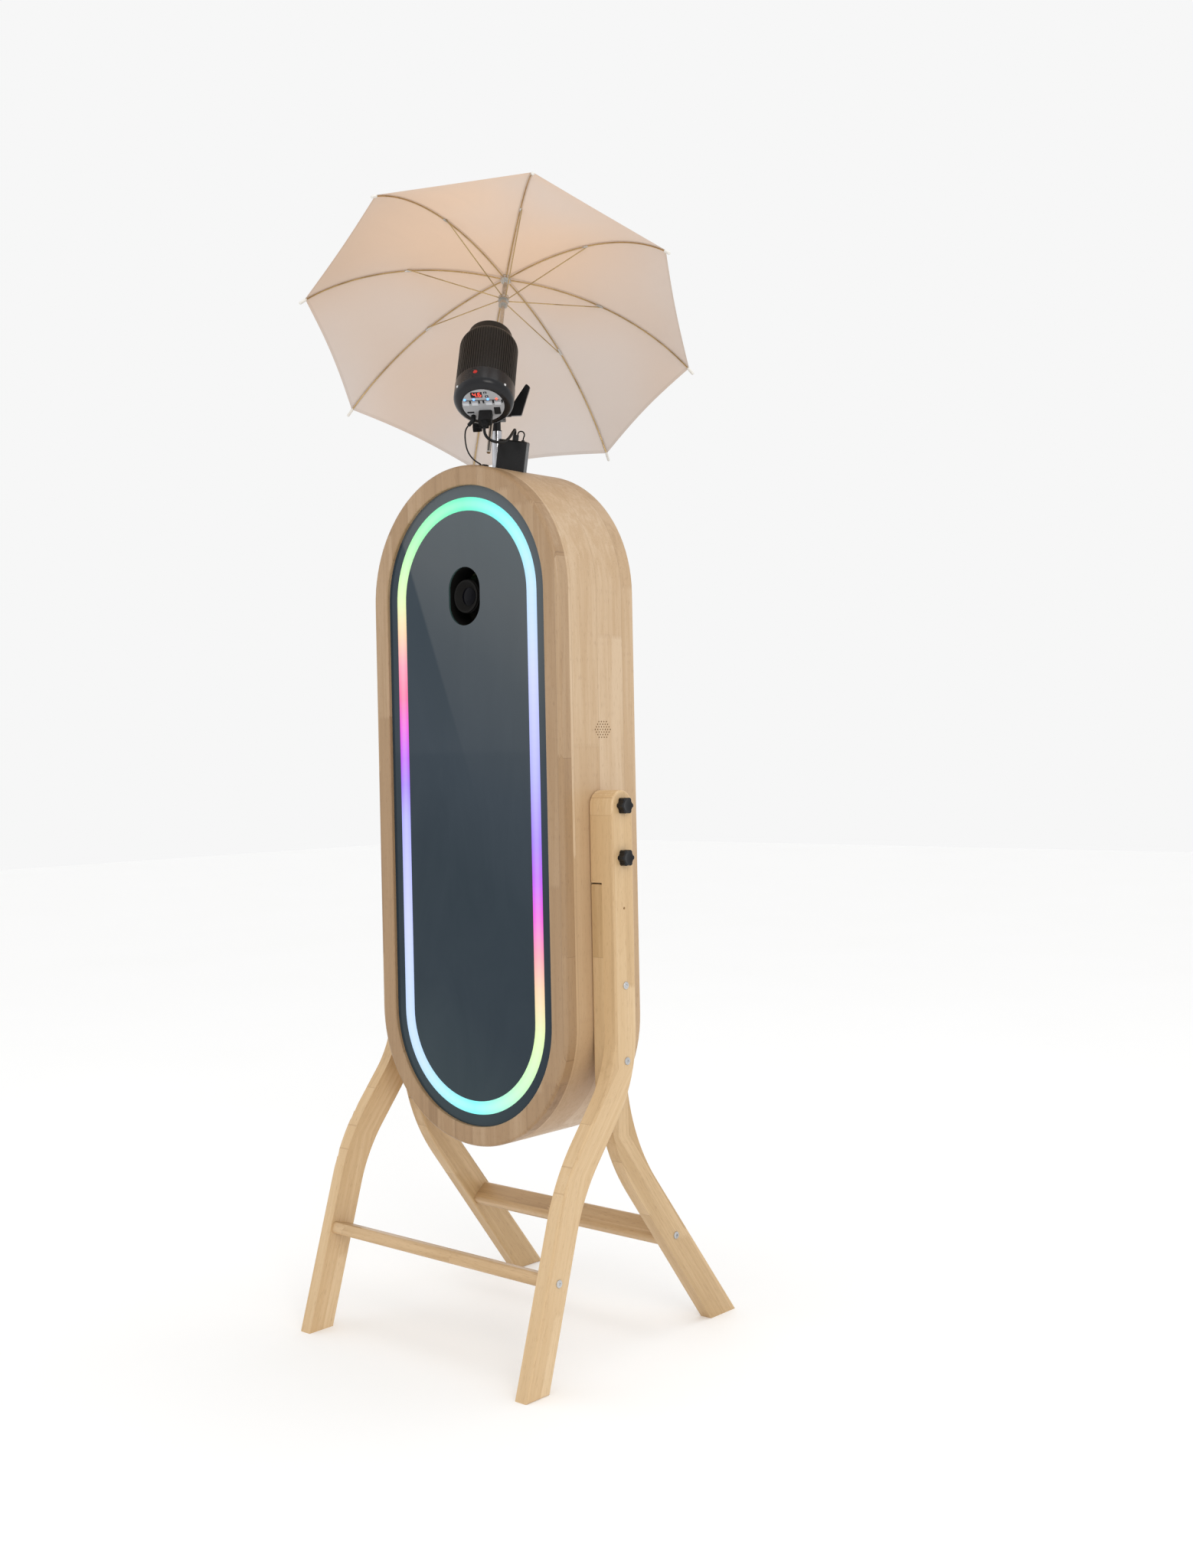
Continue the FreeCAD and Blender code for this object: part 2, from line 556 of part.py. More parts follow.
def bolt(x, y, z, length):
    """Low round-headed bolt with a hexagon socket, driven in along -X."""
    head = rod(V(x, y, z), V(x + BOLT_HEAD_HEIGHT, y, z), BOLT_HEAD_RADIUS)
    head = head.makeFillet(1.4, edges_where(head, lambda p: abs(p.x - x - BOLT_HEAD_HEIGHT) < 1e-6))
    shank = rod(V(x, y, z), V(x - length, y, z), BOLT_SHANK_RADIUS)
    corners = []
    for i in range(7):
        angle = math.radians(60 * i)
        corners.append(V(x + 0.6, y + BOLT_SOCKET * math.cos(angle), z + BOLT_SOCKET * math.sin(angle)))
    socket = Part.Face(Part.makePolygon(corners)).extrude(V(BOLT_HEAD_HEIGHT, 0, 0))
    return head.fuse(shank).cut(socket)


def stand_bolts():
    right = [bolt(ARM_OUTER_X, ARM_Y, z, BOARD_THICKNESS + 18) for z in LEG_BOLTS_Z]
    right.append(bolt(ARM_OUTER_X, front_rail_y(), RAIL_HEIGHT, BOARD_THICKNESS + 28))
    right.append(bolt(BOARD_SPLIT_X, rear_rail_y(), RAIL_HEIGHT, BOARD_THICKNESS + 28))
    return Part.makeCompound(right + [mirrored(b) for b in right])


def star_knob(z):
    """Lobed hand knob with its stud through the arm into the cabinet's side wall."""
    x = ARM_OUTER_X + FIT_GAP
    lobe_radius = KNOB_RADIUS * 0.3
    core = rod(V(x, ARM_Y, z), V(x + KNOB_THICKNESS, ARM_Y, z), KNOB_RADIUS * 0.82)
    for i in range(KNOB_LOBES):
        angle = math.radians(360 / KNOB_LOBES * i)
        start = V(x, ARM_Y, z) + V(0, math.cos(angle), math.sin(angle)) * (KNOB_RADIUS - lobe_radius)
        core = core.fuse(rod(start, start + V(KNOB_THICKNESS, 0, 0), lobe_radius))
    core = core.removeSplitter()
    core = core.makeFillet(2.0, edges_where(core, lambda p: abs(p.x - x - KNOB_THICKNESS) < 1e-6))
    dish = Part.makeSphere(40, V(x + KNOB_THICKNESS + 38.4, ARM_Y, z))
    stud = rod(V(x + 1, ARM_Y, z), V(HALF_WIDTH - STUD_IN_WALL, ARM_Y, z), STUD_RADIUS)
    return core.cut(dish).fuse(stud)


# ---- pole and bracket ----

def light_pole():
    flange_radius, flange_height = POLE_FLANGE
    flange_top = ARCH_TOP + flange_height
    flange = rod(V(0, 0, ARCH_TOP - 3), V(0, 0, flange_top), flange_radius)
    flange = flange.makeFillet(2, edges_where(flange, lambda p: abs(p.z - flange_top) < 1e-6))
    flange = flange.cut(arch_cylinder(HALF_WIDTH, -flange_radius - 1, flange_radius + 1))
    tube = rod(V(0, 0, ARCH_TOP - WALL_THICKNESS), V(0, 0, POLE_TOP_Z), POLE_RADIUS)
    tube = tube.fuse(flange)
    tube = tube.cut(rod(V(0, 0, ARCH_TOP - 30), V(0, 0, POLE_TOP_Z + 1), POLE_RADIUS - POLE_WALL))
    for i in range(3):
        angle = math.radians(90 + 120 * i)
        x, y = (flange_radius - 3.8) * math.cos(angle), (flange_radius - 3.8) * math.sin(angle)
        tube = tube.cut(Part.makeCone(2.4, 1.2, 1.6, V(x, y, flange_top + 0.01), V(0, 0, -1)))
    return tube


def aim():
    """Placement of the aimed frame: Y along the umbrella's shaft, X level, at the pole's crossing."""
    azimuth, elevation = math.radians(AIM_AZIMUTH), math.radians(AIM_ELEVATION)
    level = V(math.sin(azimuth), math.cos(azimuth), 0)
    along = level * math.cos(elevation) + V(0, 0, math.sin(elevation))
    across = along.cross(V(0, 0, 1)).normalize()
    up = across.cross(along)
    return FreeCAD.Placement(V(0, 0, SHAFT_CROSSING_Z), FreeCAD.Rotation(across, along, up, "XYZ"))


def aimed(shape):
    shape = shape.copy()
    shape.transformShape(aim().toMatrix(), False)
    return shape


def level_frame():
    """Placement at the pole's axis and pivot height, X along the tilt axis, Z up."""
    return FreeCAD.Placement(V(0, 0, 0), FreeCAD.Rotation(V(0, 0, 1), -AIM_AZIMUTH))


def levelled(shape):
    shape = shape.copy()
    shape.transformShape(level_frame().toMatrix(), False)
    return shape


def pivot_in_aim():
    """The tilt pivot, in the aimed frame."""
    local = aim().inverse().multVec(V(0, 0, TILT_PIVOT_Z))
    return local.y, local.z


def bracket():
    """Spigot in the pole's top, carrying a two-cheeked yoke for the tilting head."""
    spigot_radius = POLE_RADIUS - POLE_WALL - RUNNING_FIT
    low = TILT_PIVOT_Z - YOKE_RADIUS - 5
    stem = rod(V(0, 0, POLE_TOP_Z - SPIGOT_LENGTH), V(0, 0, low + 3), spigot_radius)
    collar = rod(V(0, 0, POLE_TOP_Z + 0.2), V(0, 0, POLE_TOP_Z + 2.2), POLE_RADIUS)
    seat = box(-YOKE_OUTER, YOKE_OUTER, -10, 10, low, low + 6)
    cheeks = []
    for sign in (1, -1):
        near, far = sorted((sign * YOKE_INNER, sign * YOKE_OUTER))
        disc = rod(V(near, 0, TILT_PIVOT_Z), V(far, 0, TILT_PIVOT_Z), YOKE_RADIUS)
        cheeks.append(disc.fuse(box(near, far, -10, 10, low, TILT_PIVOT_Z)))
    body = stem.fuse([collar, seat] + cheeks).removeSplitter()
    body = body.cut(rod(V(-30, 0, TILT_PIVOT_Z), V(30, 0, TILT_PIVOT_Z), STUD_RADIUS + RUNNING_FIT))
    body = body.cut(rod(V(-30, 0, CLAMP_Z), V(0, 0, CLAMP_Z), 3 + RUNNING_FIT))
    return levelled(body)


def tilt_lever():
    """Clamping lever: a bolt through the yoke and a flared blade on its right end."""
    pivot = V(0, 0, TILT_PIVOT_Z)
    bolt_rod = rod(pivot - V(YOKE_OUTER + 3.5, 0, 0), pivot + V(YOKE_OUTER + 1, 0, 0), STUD_RADIUS)
    nut = rod(pivot - V(YOKE_OUTER + 7, 0, 0), pivot - V(YOKE_OUTER + 0.3, 0, 0), 7.5)
    hub = rod(pivot + V(YOKE_OUTER + 0.3, 0, 0), pivot + V(YOKE_OUTER + 12, 0, 0), LEVER_HUB_RADIUS)
    z = TILT_PIVOT_Z
    near = YOKE_OUTER + 1
    points = [(0, -9), (31, -9), (49, 45), (42, 52), (11, 9), (0, 9)]
    corners = [V(near + x, -LEVER_THICKNESS / 2, z + height) for x, height in points]
    outline = rounded_outline(corners, [1, 3, 3, 3, 6, 1])
    blade = Part.Face(outline).extrude(V(0, LEVER_THICKNESS, 0))
    return levelled(bolt_rod.fuse([nut, hub, blade]).removeSplitter())


def clamp_knob():
    reach, length, radius = CLAMP_KNOB
    head = rod(V(-reach, 0, CLAMP_Z), V(-reach - length, 0, CLAMP_Z), radius)
    head = head.makeFillet(1.5, [e for e in head.Edges if e.Length > 20])
    shank = rod(V(-reach - 1, 0, CLAMP_Z), V(-2, 0, CLAMP_Z), 3)
    return levelled(head.fuse(shank))


# ---- strobe (aimed frame) ----

def strobe_axis(y):
    return V(0, y, STROBE_ABOVE_SHAFT)


def strobe_housing():
    """Finned barrel with a shouldered mouth, and the mounting head cast under it."""
    cap_front = STROBE_REAR_Y + END_CAP_LENGTH
    shoulder_back, shoulder_front = SHOULDER_Y
    step = 2 * math.pi / FIN_COUNT
    corners = []
    for i in range(FIN_COUNT):
        for part, radius in ((-0.3, STROBE_RADIUS - FIN_DEPTH), (-0.22, STROBE_RADIUS),
                             (0.22, STROBE_RADIUS), (0.3, STROBE_RADIUS - FIN_DEPTH)):
            angle = (i + part) * step
            corners.append(strobe_axis(cap_front) + V(math.sin(angle), 0, math.cos(angle)) * radius)
    corners.append(corners[0])
    barrel = Part.Face(Part.makePolygon(corners)).extrude(V(0, shoulder_front - cap_front, 0))
    envelope = rod(V(0, cap_front, 0), V(0, shoulder_front, 0), STROBE_RADIUS + 2)
    bulge = Part.Arc(V(STROBE_RADIUS, shoulder_back, 0),
                     V(STROBE_RADIUS - 3, (shoulder_back + shoulder_front) / 2 + 1.5, 0),
                     V(SHOULDER_RADIUS, shoulder_front, 0)).toShape()
    high, low = V(STROBE_RADIUS + 3, shoulder_front, 0), V(STROBE_RADIUS + 3, shoulder_back, 0)
    shaved = Part.Wire([
        bulge, Part.LineSegment(V(SHOULDER_RADIUS, shoulder_front, 0), high).toShape(),
        Part.LineSegment(high, low).toShape(),
        Part.LineSegment(low, V(STROBE_RADIUS, shoulder_back, 0)).toShape(),
    ])
    envelope = envelope.cut(Part.Face(shaved).revolve(V(0, 0, 0), V(0, 1, 0), 360))
    envelope.translate(V(0, 0, STROBE_ABOVE_SHAFT))
    barrel = barrel.common(envelope)
    mouth = rod(strobe_axis(shoulder_front - 4), strobe_axis(STROBE_FRONT_Y), MOUTH_RADIUS)
    mouth = mouth.makeFillet(1.5, edges_where(mouth, lambda p: abs(p.y - STROBE_FRONT_Y) < 1e-6))
    groove = Part.makeTorus(MOUTH_RADIUS, 1.2, strobe_axis(shoulder_front + 5), V(0, 1, 0))
    bore = rod(strobe_axis(STROBE_FRONT_Y - MOUTH_DEPTH), strobe_axis(STROBE_FRONT_Y + 1), MOUTH_BORE)
    body = barrel.fuse(mouth).cut(groove).cut(bore)
    body.translate(V(STROBE_SIDE, 0, 0))
    return body.fuse(tilt_head()).cut(shaft_bore()).removeSplitter()


def tilt_head():
    """Tongue round the tilt pivot, rising into a block that takes the umbrella's shaft."""
    y, z = pivot_in_aim()
    pivot = V(-TONGUE_HALF, y, z)
    tongue = rod(pivot, pivot + V(2 * TONGUE_HALF, 0, 0), YOKE_RADIUS - 1)
    neck = [V(-TONGUE_HALF, y - 9, z - 4), V(-TONGUE_HALF, y + 10, z - 9), V(-TONGUE_HALF, -12, -9),
            V(-TONGUE_HALF, -12, -6), V(-TONGUE_HALF, -54, -6)]
    web = Part.Face(Part.makePolygon(neck + neck[:1])).extrude(V(2 * TONGUE_HALF, 0, 0))
    block = box(-14, 14, -56, -10, -9, STROBE_ABOVE_SHAFT - STROBE_RADIUS + 5)
    block = block.makeFillet(3, [e for e in block.Edges if abs(e.Length - 46) < 1e-6])
    body = tongue.fuse([web, block]).removeSplitter()
    return body.cut(rod(V(-30, y, z), V(30, y, z), STUD_RADIUS + RUNNING_FIT))


def shaft_bore():
    return rod(V(0, -90, 0), V(0, 20, 0), SHAFT_RADIUS + RUNNING_FIT)


def strobe_end_cap():
    """Smooth rear cap with a recess for the panel, two screw heads and the slave eye."""
    cap_front = STROBE_REAR_Y + END_CAP_LENGTH
    front = cap_front - FIT_GAP
    cap = rod(strobe_axis(STROBE_REAR_Y), strobe_axis(front), STROBE_RADIUS + 0.8)
    cap = cap.makeFillet(END_CAP_ROUND, edges_where(cap, lambda p: abs(p.y - STROBE_REAR_Y) < 1e-6))
    cap = cap.makeFillet(1, edges_where(cap, lambda p: abs(p.y - front) < 1e-6))
    recess_floor = strobe_axis(STROBE_REAR_Y + PANEL_THICKNESS)
    cap = cap.cut(rod(strobe_axis(STROBE_REAR_Y - 1), recess_floor, PANEL_RADIUS + FIT_GAP))
    for x in KEYS_X:
        cap = cap.cut(panel_pocket(x, KEY_Z, KEY_SIZE[0] + 2, KEY_SIZE[1] + 2, PANEL_THICKNESS + 4))
    x, z = ROCKER_AT
    cap = cap.cut(panel_pocket(x, z, ROCKER_SIZE[0] + 2, ROCKER_SIZE[1] + 2, PANEL_THICKNESS + 10))
    screws = []
    for sign in (1, -1):
        angle = math.radians(sign * 52)
        outward = V(math.sin(angle), 0, math.cos(angle))
        centre = strobe_axis(STROBE_REAR_Y + END_CAP_ROUND) + outward * (STROBE_RADIUS + 0.4)
        screws.append(Part.makeSphere(2.4, centre))
    eye = Part.makeSphere(4.0, V(-9, cap_front - 14, STROBE_ABOVE_SHAFT + STROBE_RADIUS - 1.5))
    return cap.fuse(screws + [eye])


def panel_pocket(x, z, width, height, depth):
    return box(x - width / 2, x + width / 2, STROBE_REAR_Y - 1, STROBE_REAR_Y + depth,
               STROBE_ABOVE_SHAFT + z - height / 2, STROBE_ABOVE_SHAFT + z + height / 2)


def control_panel():
    plate = rod(strobe_axis(STROBE_REAR_Y), strobe_axis(STROBE_REAR_Y + PANEL_THICKNESS), PANEL_RADIUS)
    plate = plate.makeFillet(0.8, edges_where(plate, lambda p: abs(p.y - STROBE_REAR_Y) < 1e-6))
    for x in KEYS_X:
        plate = plate.cut(panel_pocket(x, KEY_Z, KEY_SIZE[0] + 2 * KEY_GAP, KEY_SIZE[1] + 2 * KEY_GAP, 9))
    x, z = ROCKER_AT
    plate = plate.cut(panel_pocket(x, z, ROCKER_SIZE[0] + 2 * KEY_GAP, ROCKER_SIZE[1] + 2 * KEY_GAP, 9))
    plate = plate.cut(panel_pocket(-25.7, -17, 13.6, 5, 1.5))
    plate = plate.cut(panel_pocket(-11, 26, 25, 14, 0.8))
    return plate


def key(x):
    width, height, depth = KEY_SIZE
    z = STROBE_ABOVE_SHAFT + KEY_Z
    cap = box(x - width / 2, x + width / 2, STROBE_REAR_Y - KEY_PROUD, STROBE_REAR_Y + depth,
              z - height / 2, z + height / 2)
    front = STROBE_REAR_Y - KEY_PROUD
    return cap.makeFillet(0.6, edges_where(cap, lambda p: abs(p.y - front) < 1e-6))


def rocker_switch():
    """Rocker that pivots about X in the panel's square cut-out."""
    width, height, depth = ROCKER_SIZE
    x, z = ROCKER_AT
    z += STROBE_ABOVE_SHAFT
    y = STROBE_REAR_Y
    half = height / 2 - 0.6
    corners = [V(x - width / 2, y - 0.4, z + half), V(x - width / 2, y - 2.2, z - half),
               V(x - width / 2, y + 1.5, z - half), V(x - width / 2, y + depth, z - 2),
               V(x - width / 2, y + depth, z + 2), V(x - width / 2, y + 1.5, z + half)]
    return Part.Face(Part.makePolygon(corners + corners[:1])).extrude(V(width, 0, 0))


def flash_tube():
    """Ring-shaped tube round a modelling lamp, on the floor of the mouth."""
    floor_y = STROBE_FRONT_Y - MOUTH_DEPTH
    ring = Part.makeTorus(26, 3.5, strobe_axis(floor_y + 10), V(0, 1, 0))
    for side in (V(-26, 0, 0), V(26, 0, 0)):
        ring = ring.fuse(rod(strobe_axis(floor_y) + side, strobe_axis(floor_y + 10) + side, 2.5))
    lamp = rod(strobe_axis(floor_y), strobe_axis(floor_y + 12), 8)
    lamp = lamp.fuse(Part.makeSphere(10, strobe_axis(floor_y + 15)))
    return Part.makeCompound([ring, lamp])


def strobe_plugs():
    """Power plug in its socket with a strain relief, and the angled sync plug."""
    x, z = SOCKET_AT
    z += STROBE_ABOVE_SHAFT
    width, length, height = PLUG_SIZE
    y = STROBE_REAR_Y
    plug = box(x - width / 2, x + width / 2, y - length, y, z - height / 2, z + height / 2)
    plug = plug.makeFillet(3, [e for e in plug.Edges if abs(e.Length - length) < 1e-6])
    relief = Part.makeCone(7, 4, RELIEF_LENGTH, V(x, y - length, z), V(0, -1, 0))
    jack_x, jack_z = JACK_AT
    jack = V(jack_x, y, STROBE_ABOVE_SHAFT + jack_z)
    corner = jack - V(0, JACK_LENGTH, 0)
    body = rod(jack, corner, 4.5)
    elbow = Part.makeSphere(4.5, corner)
    arm = rod(corner, jack + SYNC_ELBOW, 3.6)
    return Part.makeCompound([plug.fuse(relief), body.fuse([elbow, arm]).removeSplitter()])


# ---- umbrella (aimed frame) ----

def spoke(index):
    """Outward direction of one rib, seen along the shaft."""
    angle = math.radians(RIB_PHASE + 360 / RIB_COUNT * index)
    return V(math.sin(angle), 0, math.cos(angle))


def rib_curve():
    """The rib's circle and the angles at its two ends, in (distance from shaft, depth below hub)."""
    hinge_radius = HUB_RADIUS + FIT_GAP + RIB_RADIUS
    edge = Part.Arc(V(hinge_radius, 0, 0), V(*RIB_JOINT, 0), V(*RIB_TIP, 0)).toShape()
    first, last = edge.FirstParameter, edge.LastParameter
    if abs(edge.Curve.value(first).x - hinge_radius) > 1:
        first, last = last, first
    return edge.Curve, first, last


def at_spoke(index, radius, depth, sideways=0.0):
    out = spoke(index)
    side = V(0, 1, 0).cross(out)
    return out * radius + V(0, HUB_Y - depth, 0) + side * sideways


def rib(index):
    """Bent steel rod from a ball at the hub to a capped tip."""
    circle, start, _ = rib_curve()
    centre = at_spoke(index, circle.Center.x, circle.Center.y)
    first = at_spoke(index, circle.value(start).x, circle.value(start).y)
    last = at_spoke(index, *RIB_TIP)
    axis = (first - centre).cross(last - centre).normalize()
    sweep = math.degrees((first - centre).getAngle(last - centre))
    along = axis.cross(first - centre).normalize()
    section = Part.Face(Part.Wire(Part.Circle(first, along, RIB_RADIUS).toShape()))
    bent = section.revolve(centre, axis, sweep)
    ball = Part.makeSphere(RIB_RADIUS, first)
    outward = axis.cross(last - centre).normalize()
    radius, length = TIP_CAP
    cap = rod(last - outward * length, last, radius).fuse(Part.makeSphere(radius, last))
    return bent.fuse([ball, cap])


def strut(index):
    inner = at_spoke(index, RUNNER_RADIUS + FIT_GAP + STRUT_RADIUS, RUNNER_DEPTH, STRUT_OFFSET)
    outer = at_spoke(index, *RIB_JOINT, STRUT_OFFSET)
    body = rod(inner, outer, STRUT_RADIUS)
    return body.fuse([Part.makeSphere(STRUT_RADIUS, inner), Part.makeSphere(STRUT_RADIUS, outer)])


def umbrella_shaft():
    """Shaft with the rib hub, the outer ferrule and the tipped lower end."""
    body = rod(V(0, SHAFT_END_Y, 0), V(0, HUB_Y + 8, 0), SHAFT_RADIUS)
    body = body.makeFillet(1.2, edges_where(body, lambda p: abs(p.y - SHAFT_END_Y) < 1e-6))
    hub = rod(V(0, HUB_Y - HUB_LENGTH / 2, 0), V(0, HUB_Y + HUB_LENGTH / 2, 0), HUB_RADIUS)
    hub = hub.cut(Part.makeTorus(HUB_RADIUS + 0.6, 1.4, V(0, HUB_Y, 0), V(0, 1, 0)))
    ferrule = Part.makeCone(5, 3.2, FERRULE_LENGTH, V(0, HUB_Y + HUB_LENGTH / 2, 0), V(0, 1, 0))
    stop = rod(V(0, HUB_Y - RUNNER_DEPTH + 8.3, 0), V(0, HUB_Y - RUNNER_DEPTH + 10.5, 0), SHAFT_RADIUS + 1.5)
    return body.fuse([hub, ferrule, stop]).removeSplitter()


def runner():
    y = HUB_Y - RUNNER_DEPTH
    crown = rod(V(0, y - 5, 0), V(0, y + 5, 0), RUNNER_RADIUS)
    crown = crown.cut(Part.makeTorus(RUNNER_RADIUS + 0.6, 1.3, V(0, y, 0), V(0, 1, 0)))
    sleeve = rod(V(0, y - RUNNER_LENGTH + 8, 0), V(0, y + 8, 0), 7.2)
    collar = rod(V(0, y - RUNNER_LENGTH + 8, 0), V(0, y - RUNNER_LENGTH + 12, 0), 9.0)
    return crown.fuse([sleeve, collar]).removeSplitter().cut(
        rod(V(0, y - 40, 0), V(0, y + 40, 0), SHAFT_RADIUS + RUNNING_FIT))


def canopy_profile(clear):
    """Points down one rib at a clearance outside it, from the ferrule to the hem."""
    circle, first, last = rib_curve()
    hem = last - (last - first) * (TIP_CAP[1] + 1.0) / (circle.Radius * abs(last - first))
    crown = -HUB_LENGTH / 2 - 0.4 - (clear - CANOPY_CLEAR)
    points = [(5.6, crown), (13.0, crown)]
    start = first + (last - first) * 0.07
    for i in range(CANOPY_RINGS + 1):
        here = circle.value(start + (hem - start) * i / CANOPY_RINGS)
        outward = (here - circle.Center).normalize()
        away = here + outward * clear
        points.append((away.x, away.y))
    return points


def canopy():
    """Eight flat-sided gores over the ribs, as a closed skin of one thickness."""
    inner = canopy_profile(CANOPY_CLEAR)
    outer = canopy_profile(CANOPY_CLEAR + CANOPY_THICKNESS)
    faces = []

    def quad(a, b, c, d):
        faces.append(Part.Face(Part.makePolygon([a, b, c, d, a])))

    for k in range(RIB_COUNT):
        for skin in (inner, outer):
            for (r0, d0), (r1, d1) in zip(skin, skin[1:]):
                near, far = (at_spoke(k, r0, d0), at_spoke(k, r1, d1)), (r1, d1)
                quad(*near, at_spoke(k + 1, *far), at_spoke(k + 1, r0, d0))
        for end in (0, -1):
            low, high = inner[end], outer[end]
            quad(at_spoke(k, *low), at_spoke(k, *high), at_spoke(k + 1, *high), at_spoke(k + 1, *low))
    solid = Part.makeSolid(Part.makeShell(faces))
    if solid.Volume < 0:
        solid.reverse()
    return solid


# ---- receiver and leads ----

def on_arch(x, y, height):
    """Point above the top arch, measured along the receiver's own lean."""
    lean = math.asin(RECEIVER_X / HALF_WIDTH)
    foot = V(RECEIVER_X, RECEIVER_Y, ARCH_Z + HALF_WIDTH * math.cos(lean))
    tip = FreeCAD.Rotation(V(0, 1, 0), math.degrees(lean))
    turn = FreeCAD.Rotation(V(0, 0, 1), RECEIVER_TURN)
    return foot + tip.multVec(turn.multVec(V(x, y, height)))


def receiver():
    """Small box standing on the arch, its foot hollowed to fit, with a lead plug on top."""
    width, depth, height = RECEIVER_SIZE
    body = box(-width / 2, width / 2, -depth / 2, depth / 2, -4, height)
    uprights = [e for e in body.Edges if abs(e.Length - height - 4) < 1e-6]
    body = body.makeFillet(3, edges_where(body, lambda p: p.z > 0) + uprights)
    plug = rod(V(PLUG_X, 0, height - 1), V(PLUG_X, 0, height + PLUG_HEIGHT), 5.9)
    boss = rod(V(BOSS_X, 0, height - 1), V(BOSS_X, 0, height + BOSS_HEIGHT), 3.2)
    body = body.fuse([plug, boss])
    lean = math.degrees(math.asin(RECEIVER_X / HALF_WIDTH))
    body.rotate(V(0, 0, 0), V(0, 0, 1), RECEIVER_TURN)
    body.rotate(V(0, 0, 0), V(0, 1, 0), lean)
    body.translate(on_arch(0, 0, 0))
    body = body.cut(arch_cylinder(HALF_WIDTH, -100, 100))
    return Part.makeCompound([body, gland()])


def gland():
    """Low cable entry on the arch, its mouth facing the front."""
    width, length, height = GLAND_SIZE
    low = GLAND_X - width / 2
    block = box(low, low + width, GLAND_Y, GLAND_Y + length, ARCH_TOP - 6, gland_z() + height / 2)
    block = block.makeFillet(2.5, edges_where(block, lambda p: p.z > gland_z()))
    return block.cut(arch_cylinder(HALF_WIDTH, -100, 100))


def gland_z():
    return ARCH_TOP + 2.5


def above_arch(points):
    return [V(x, y, ARCH_TOP + height) for x, y, height in points]


def power_lead():
    """From the strobe's plug down in a sag and over into the plug on the receiver."""
    x, z = SOCKET_AT
    exit_y = STROBE_REAR_Y - PLUG_SIZE[1] - RELIEF_LENGTH
    exit_point = V(x + STROBE_SIDE, exit_y, z + STROBE_ABOVE_SHAFT)
    ends = [aim().multVec(exit_point), aim().multVec(exit_point - V(0, LEAD_OUT, 0))]
    top = RECEIVER_SIZE[2]
    bend = [on_arch(x, y, top + height) for x, y, height in POWER_BEND]
    route = ends + above_arch(POWER_LEAD) + bend
    return lead(route + [on_arch(PLUG_X - 2.2, 0, top + PLUG_HEIGHT)], POWER_LEAD_RADIUS)


def sync_lead():
    """From the strobe's angled plug down over the frame's top edge to the cable entry."""
    jack_x, jack_z = JACK_AT
    tip = V(jack_x + STROBE_SIDE, STROBE_REAR_Y, STROBE_ABOVE_SHAFT + jack_z) + SYNC_ELBOW
    onward = (SYNC_ELBOW + V(0, JACK_LENGTH, 0)).normalize()
    ends = [aim().multVec(tip), aim().multVec(tip + onward * SYNC_OUT)]
    return lead(ends + above_arch(SYNC_LEAD) + [V(GLAND_X, GLAND_Y, gland_z())], SYNC_LEAD_RADIUS)


def loop_lead():
    """Short loop from the receiver's plug over to the boss beside it."""
    top = RECEIVER_SIZE[2]
    start = on_arch(PLUG_X + 3.6, 0, top + PLUG_HEIGHT)
    route = [on_arch(x, 0, top + height) for x, height in LOOP_LEAD]
    return lead([start] + route + [on_arch(BOSS_X, 0, top + BOSS_HEIGHT)], LOOP_LEAD_RADIUS)


def main():
    os.makedirs("parts", exist_ok=True)
    arches, boards = walls()
    nodes = {
        "front_frame": front_frame(), "wall_arches": arches, "side_walls": boards, "back_panel": back_panel(),
        "mirror_glass": mirror_glass(), "led_ring": led_ring(), "touch_display": touch_display(),
        "camera_shroud": camera_shroud(), "camera": camera(), "computer": computer(), "speakers": speakers(),
        "power_inlet": power_inlet(), "light_pole": light_pole(), "receiver": receiver(),
        "front_rail": front_rail(), "rear_rail": rear_rail(), "stand_bolts": stand_bolts(),
        "bracket": bracket(), "tilt_lever": tilt_lever(), "clamp_knob": clamp_knob(),
        "power_lead": power_lead(), "sync_lead": sync_lead(), "loop_lead": loop_lead(),
    }
    for side, sign in SIDES:
        nodes["front_leg_" + side] = on_side(front_leg(), sign)
        nodes["rear_leg_" + side] = on_side(rear_leg(), sign)
        nodes["knob_upper_" + side] = on_side(star_knob(CABINET_CENTRE_Z), sign)
        nodes["knob_lower_" + side] = on_side(star_knob(CABINET_CENTRE_Z - LOCK_BELOW_PIVOT), sign)
    head = {
        "strobe_housing": strobe_housing(), "strobe_end_cap": strobe_end_cap(),
        "control_panel": control_panel(), "rocker_switch": rocker_switch(), "flash_tube": flash_tube(),
        "strobe_plugs": strobe_plugs(),
        "umbrella_shaft": umbrella_shaft(), "runner": runner(), "canopy": canopy(),
    }
    for i, x in enumerate(KEYS_X, 1):
        head["key_%d" % i] = key(x)
    for name in ("strobe_end_cap", "control_panel", "rocker_switch", "flash_tube", "strobe_plugs",
                 "key_1", "key_2", "key_3", "key_4"):
        head[name].translate(V(STROBE_SIDE, 0, 0))
    for k in range(RIB_COUNT):
        head["rib_%d" % (k + 1)] = rib(k)
        head["strut_%d" % (k + 1)] = strut(k)
    nodes.update((name, aimed(shape)) for name, shape in head.items())
    for name, shape in sorted(nodes.items()):
        if not shape.isValid():
            print("not valid:", name)
        shape.exportStep("parts/%s.step" % name)
        bounds = shape.BoundBox
        print("%-18s solids %d volume %.0f  size %.1f %.1f %.1f" % (
            name, len(shape.Solids), shape.Volume, bounds.XLength, bounds.YLength, bounds.ZLength))


main()
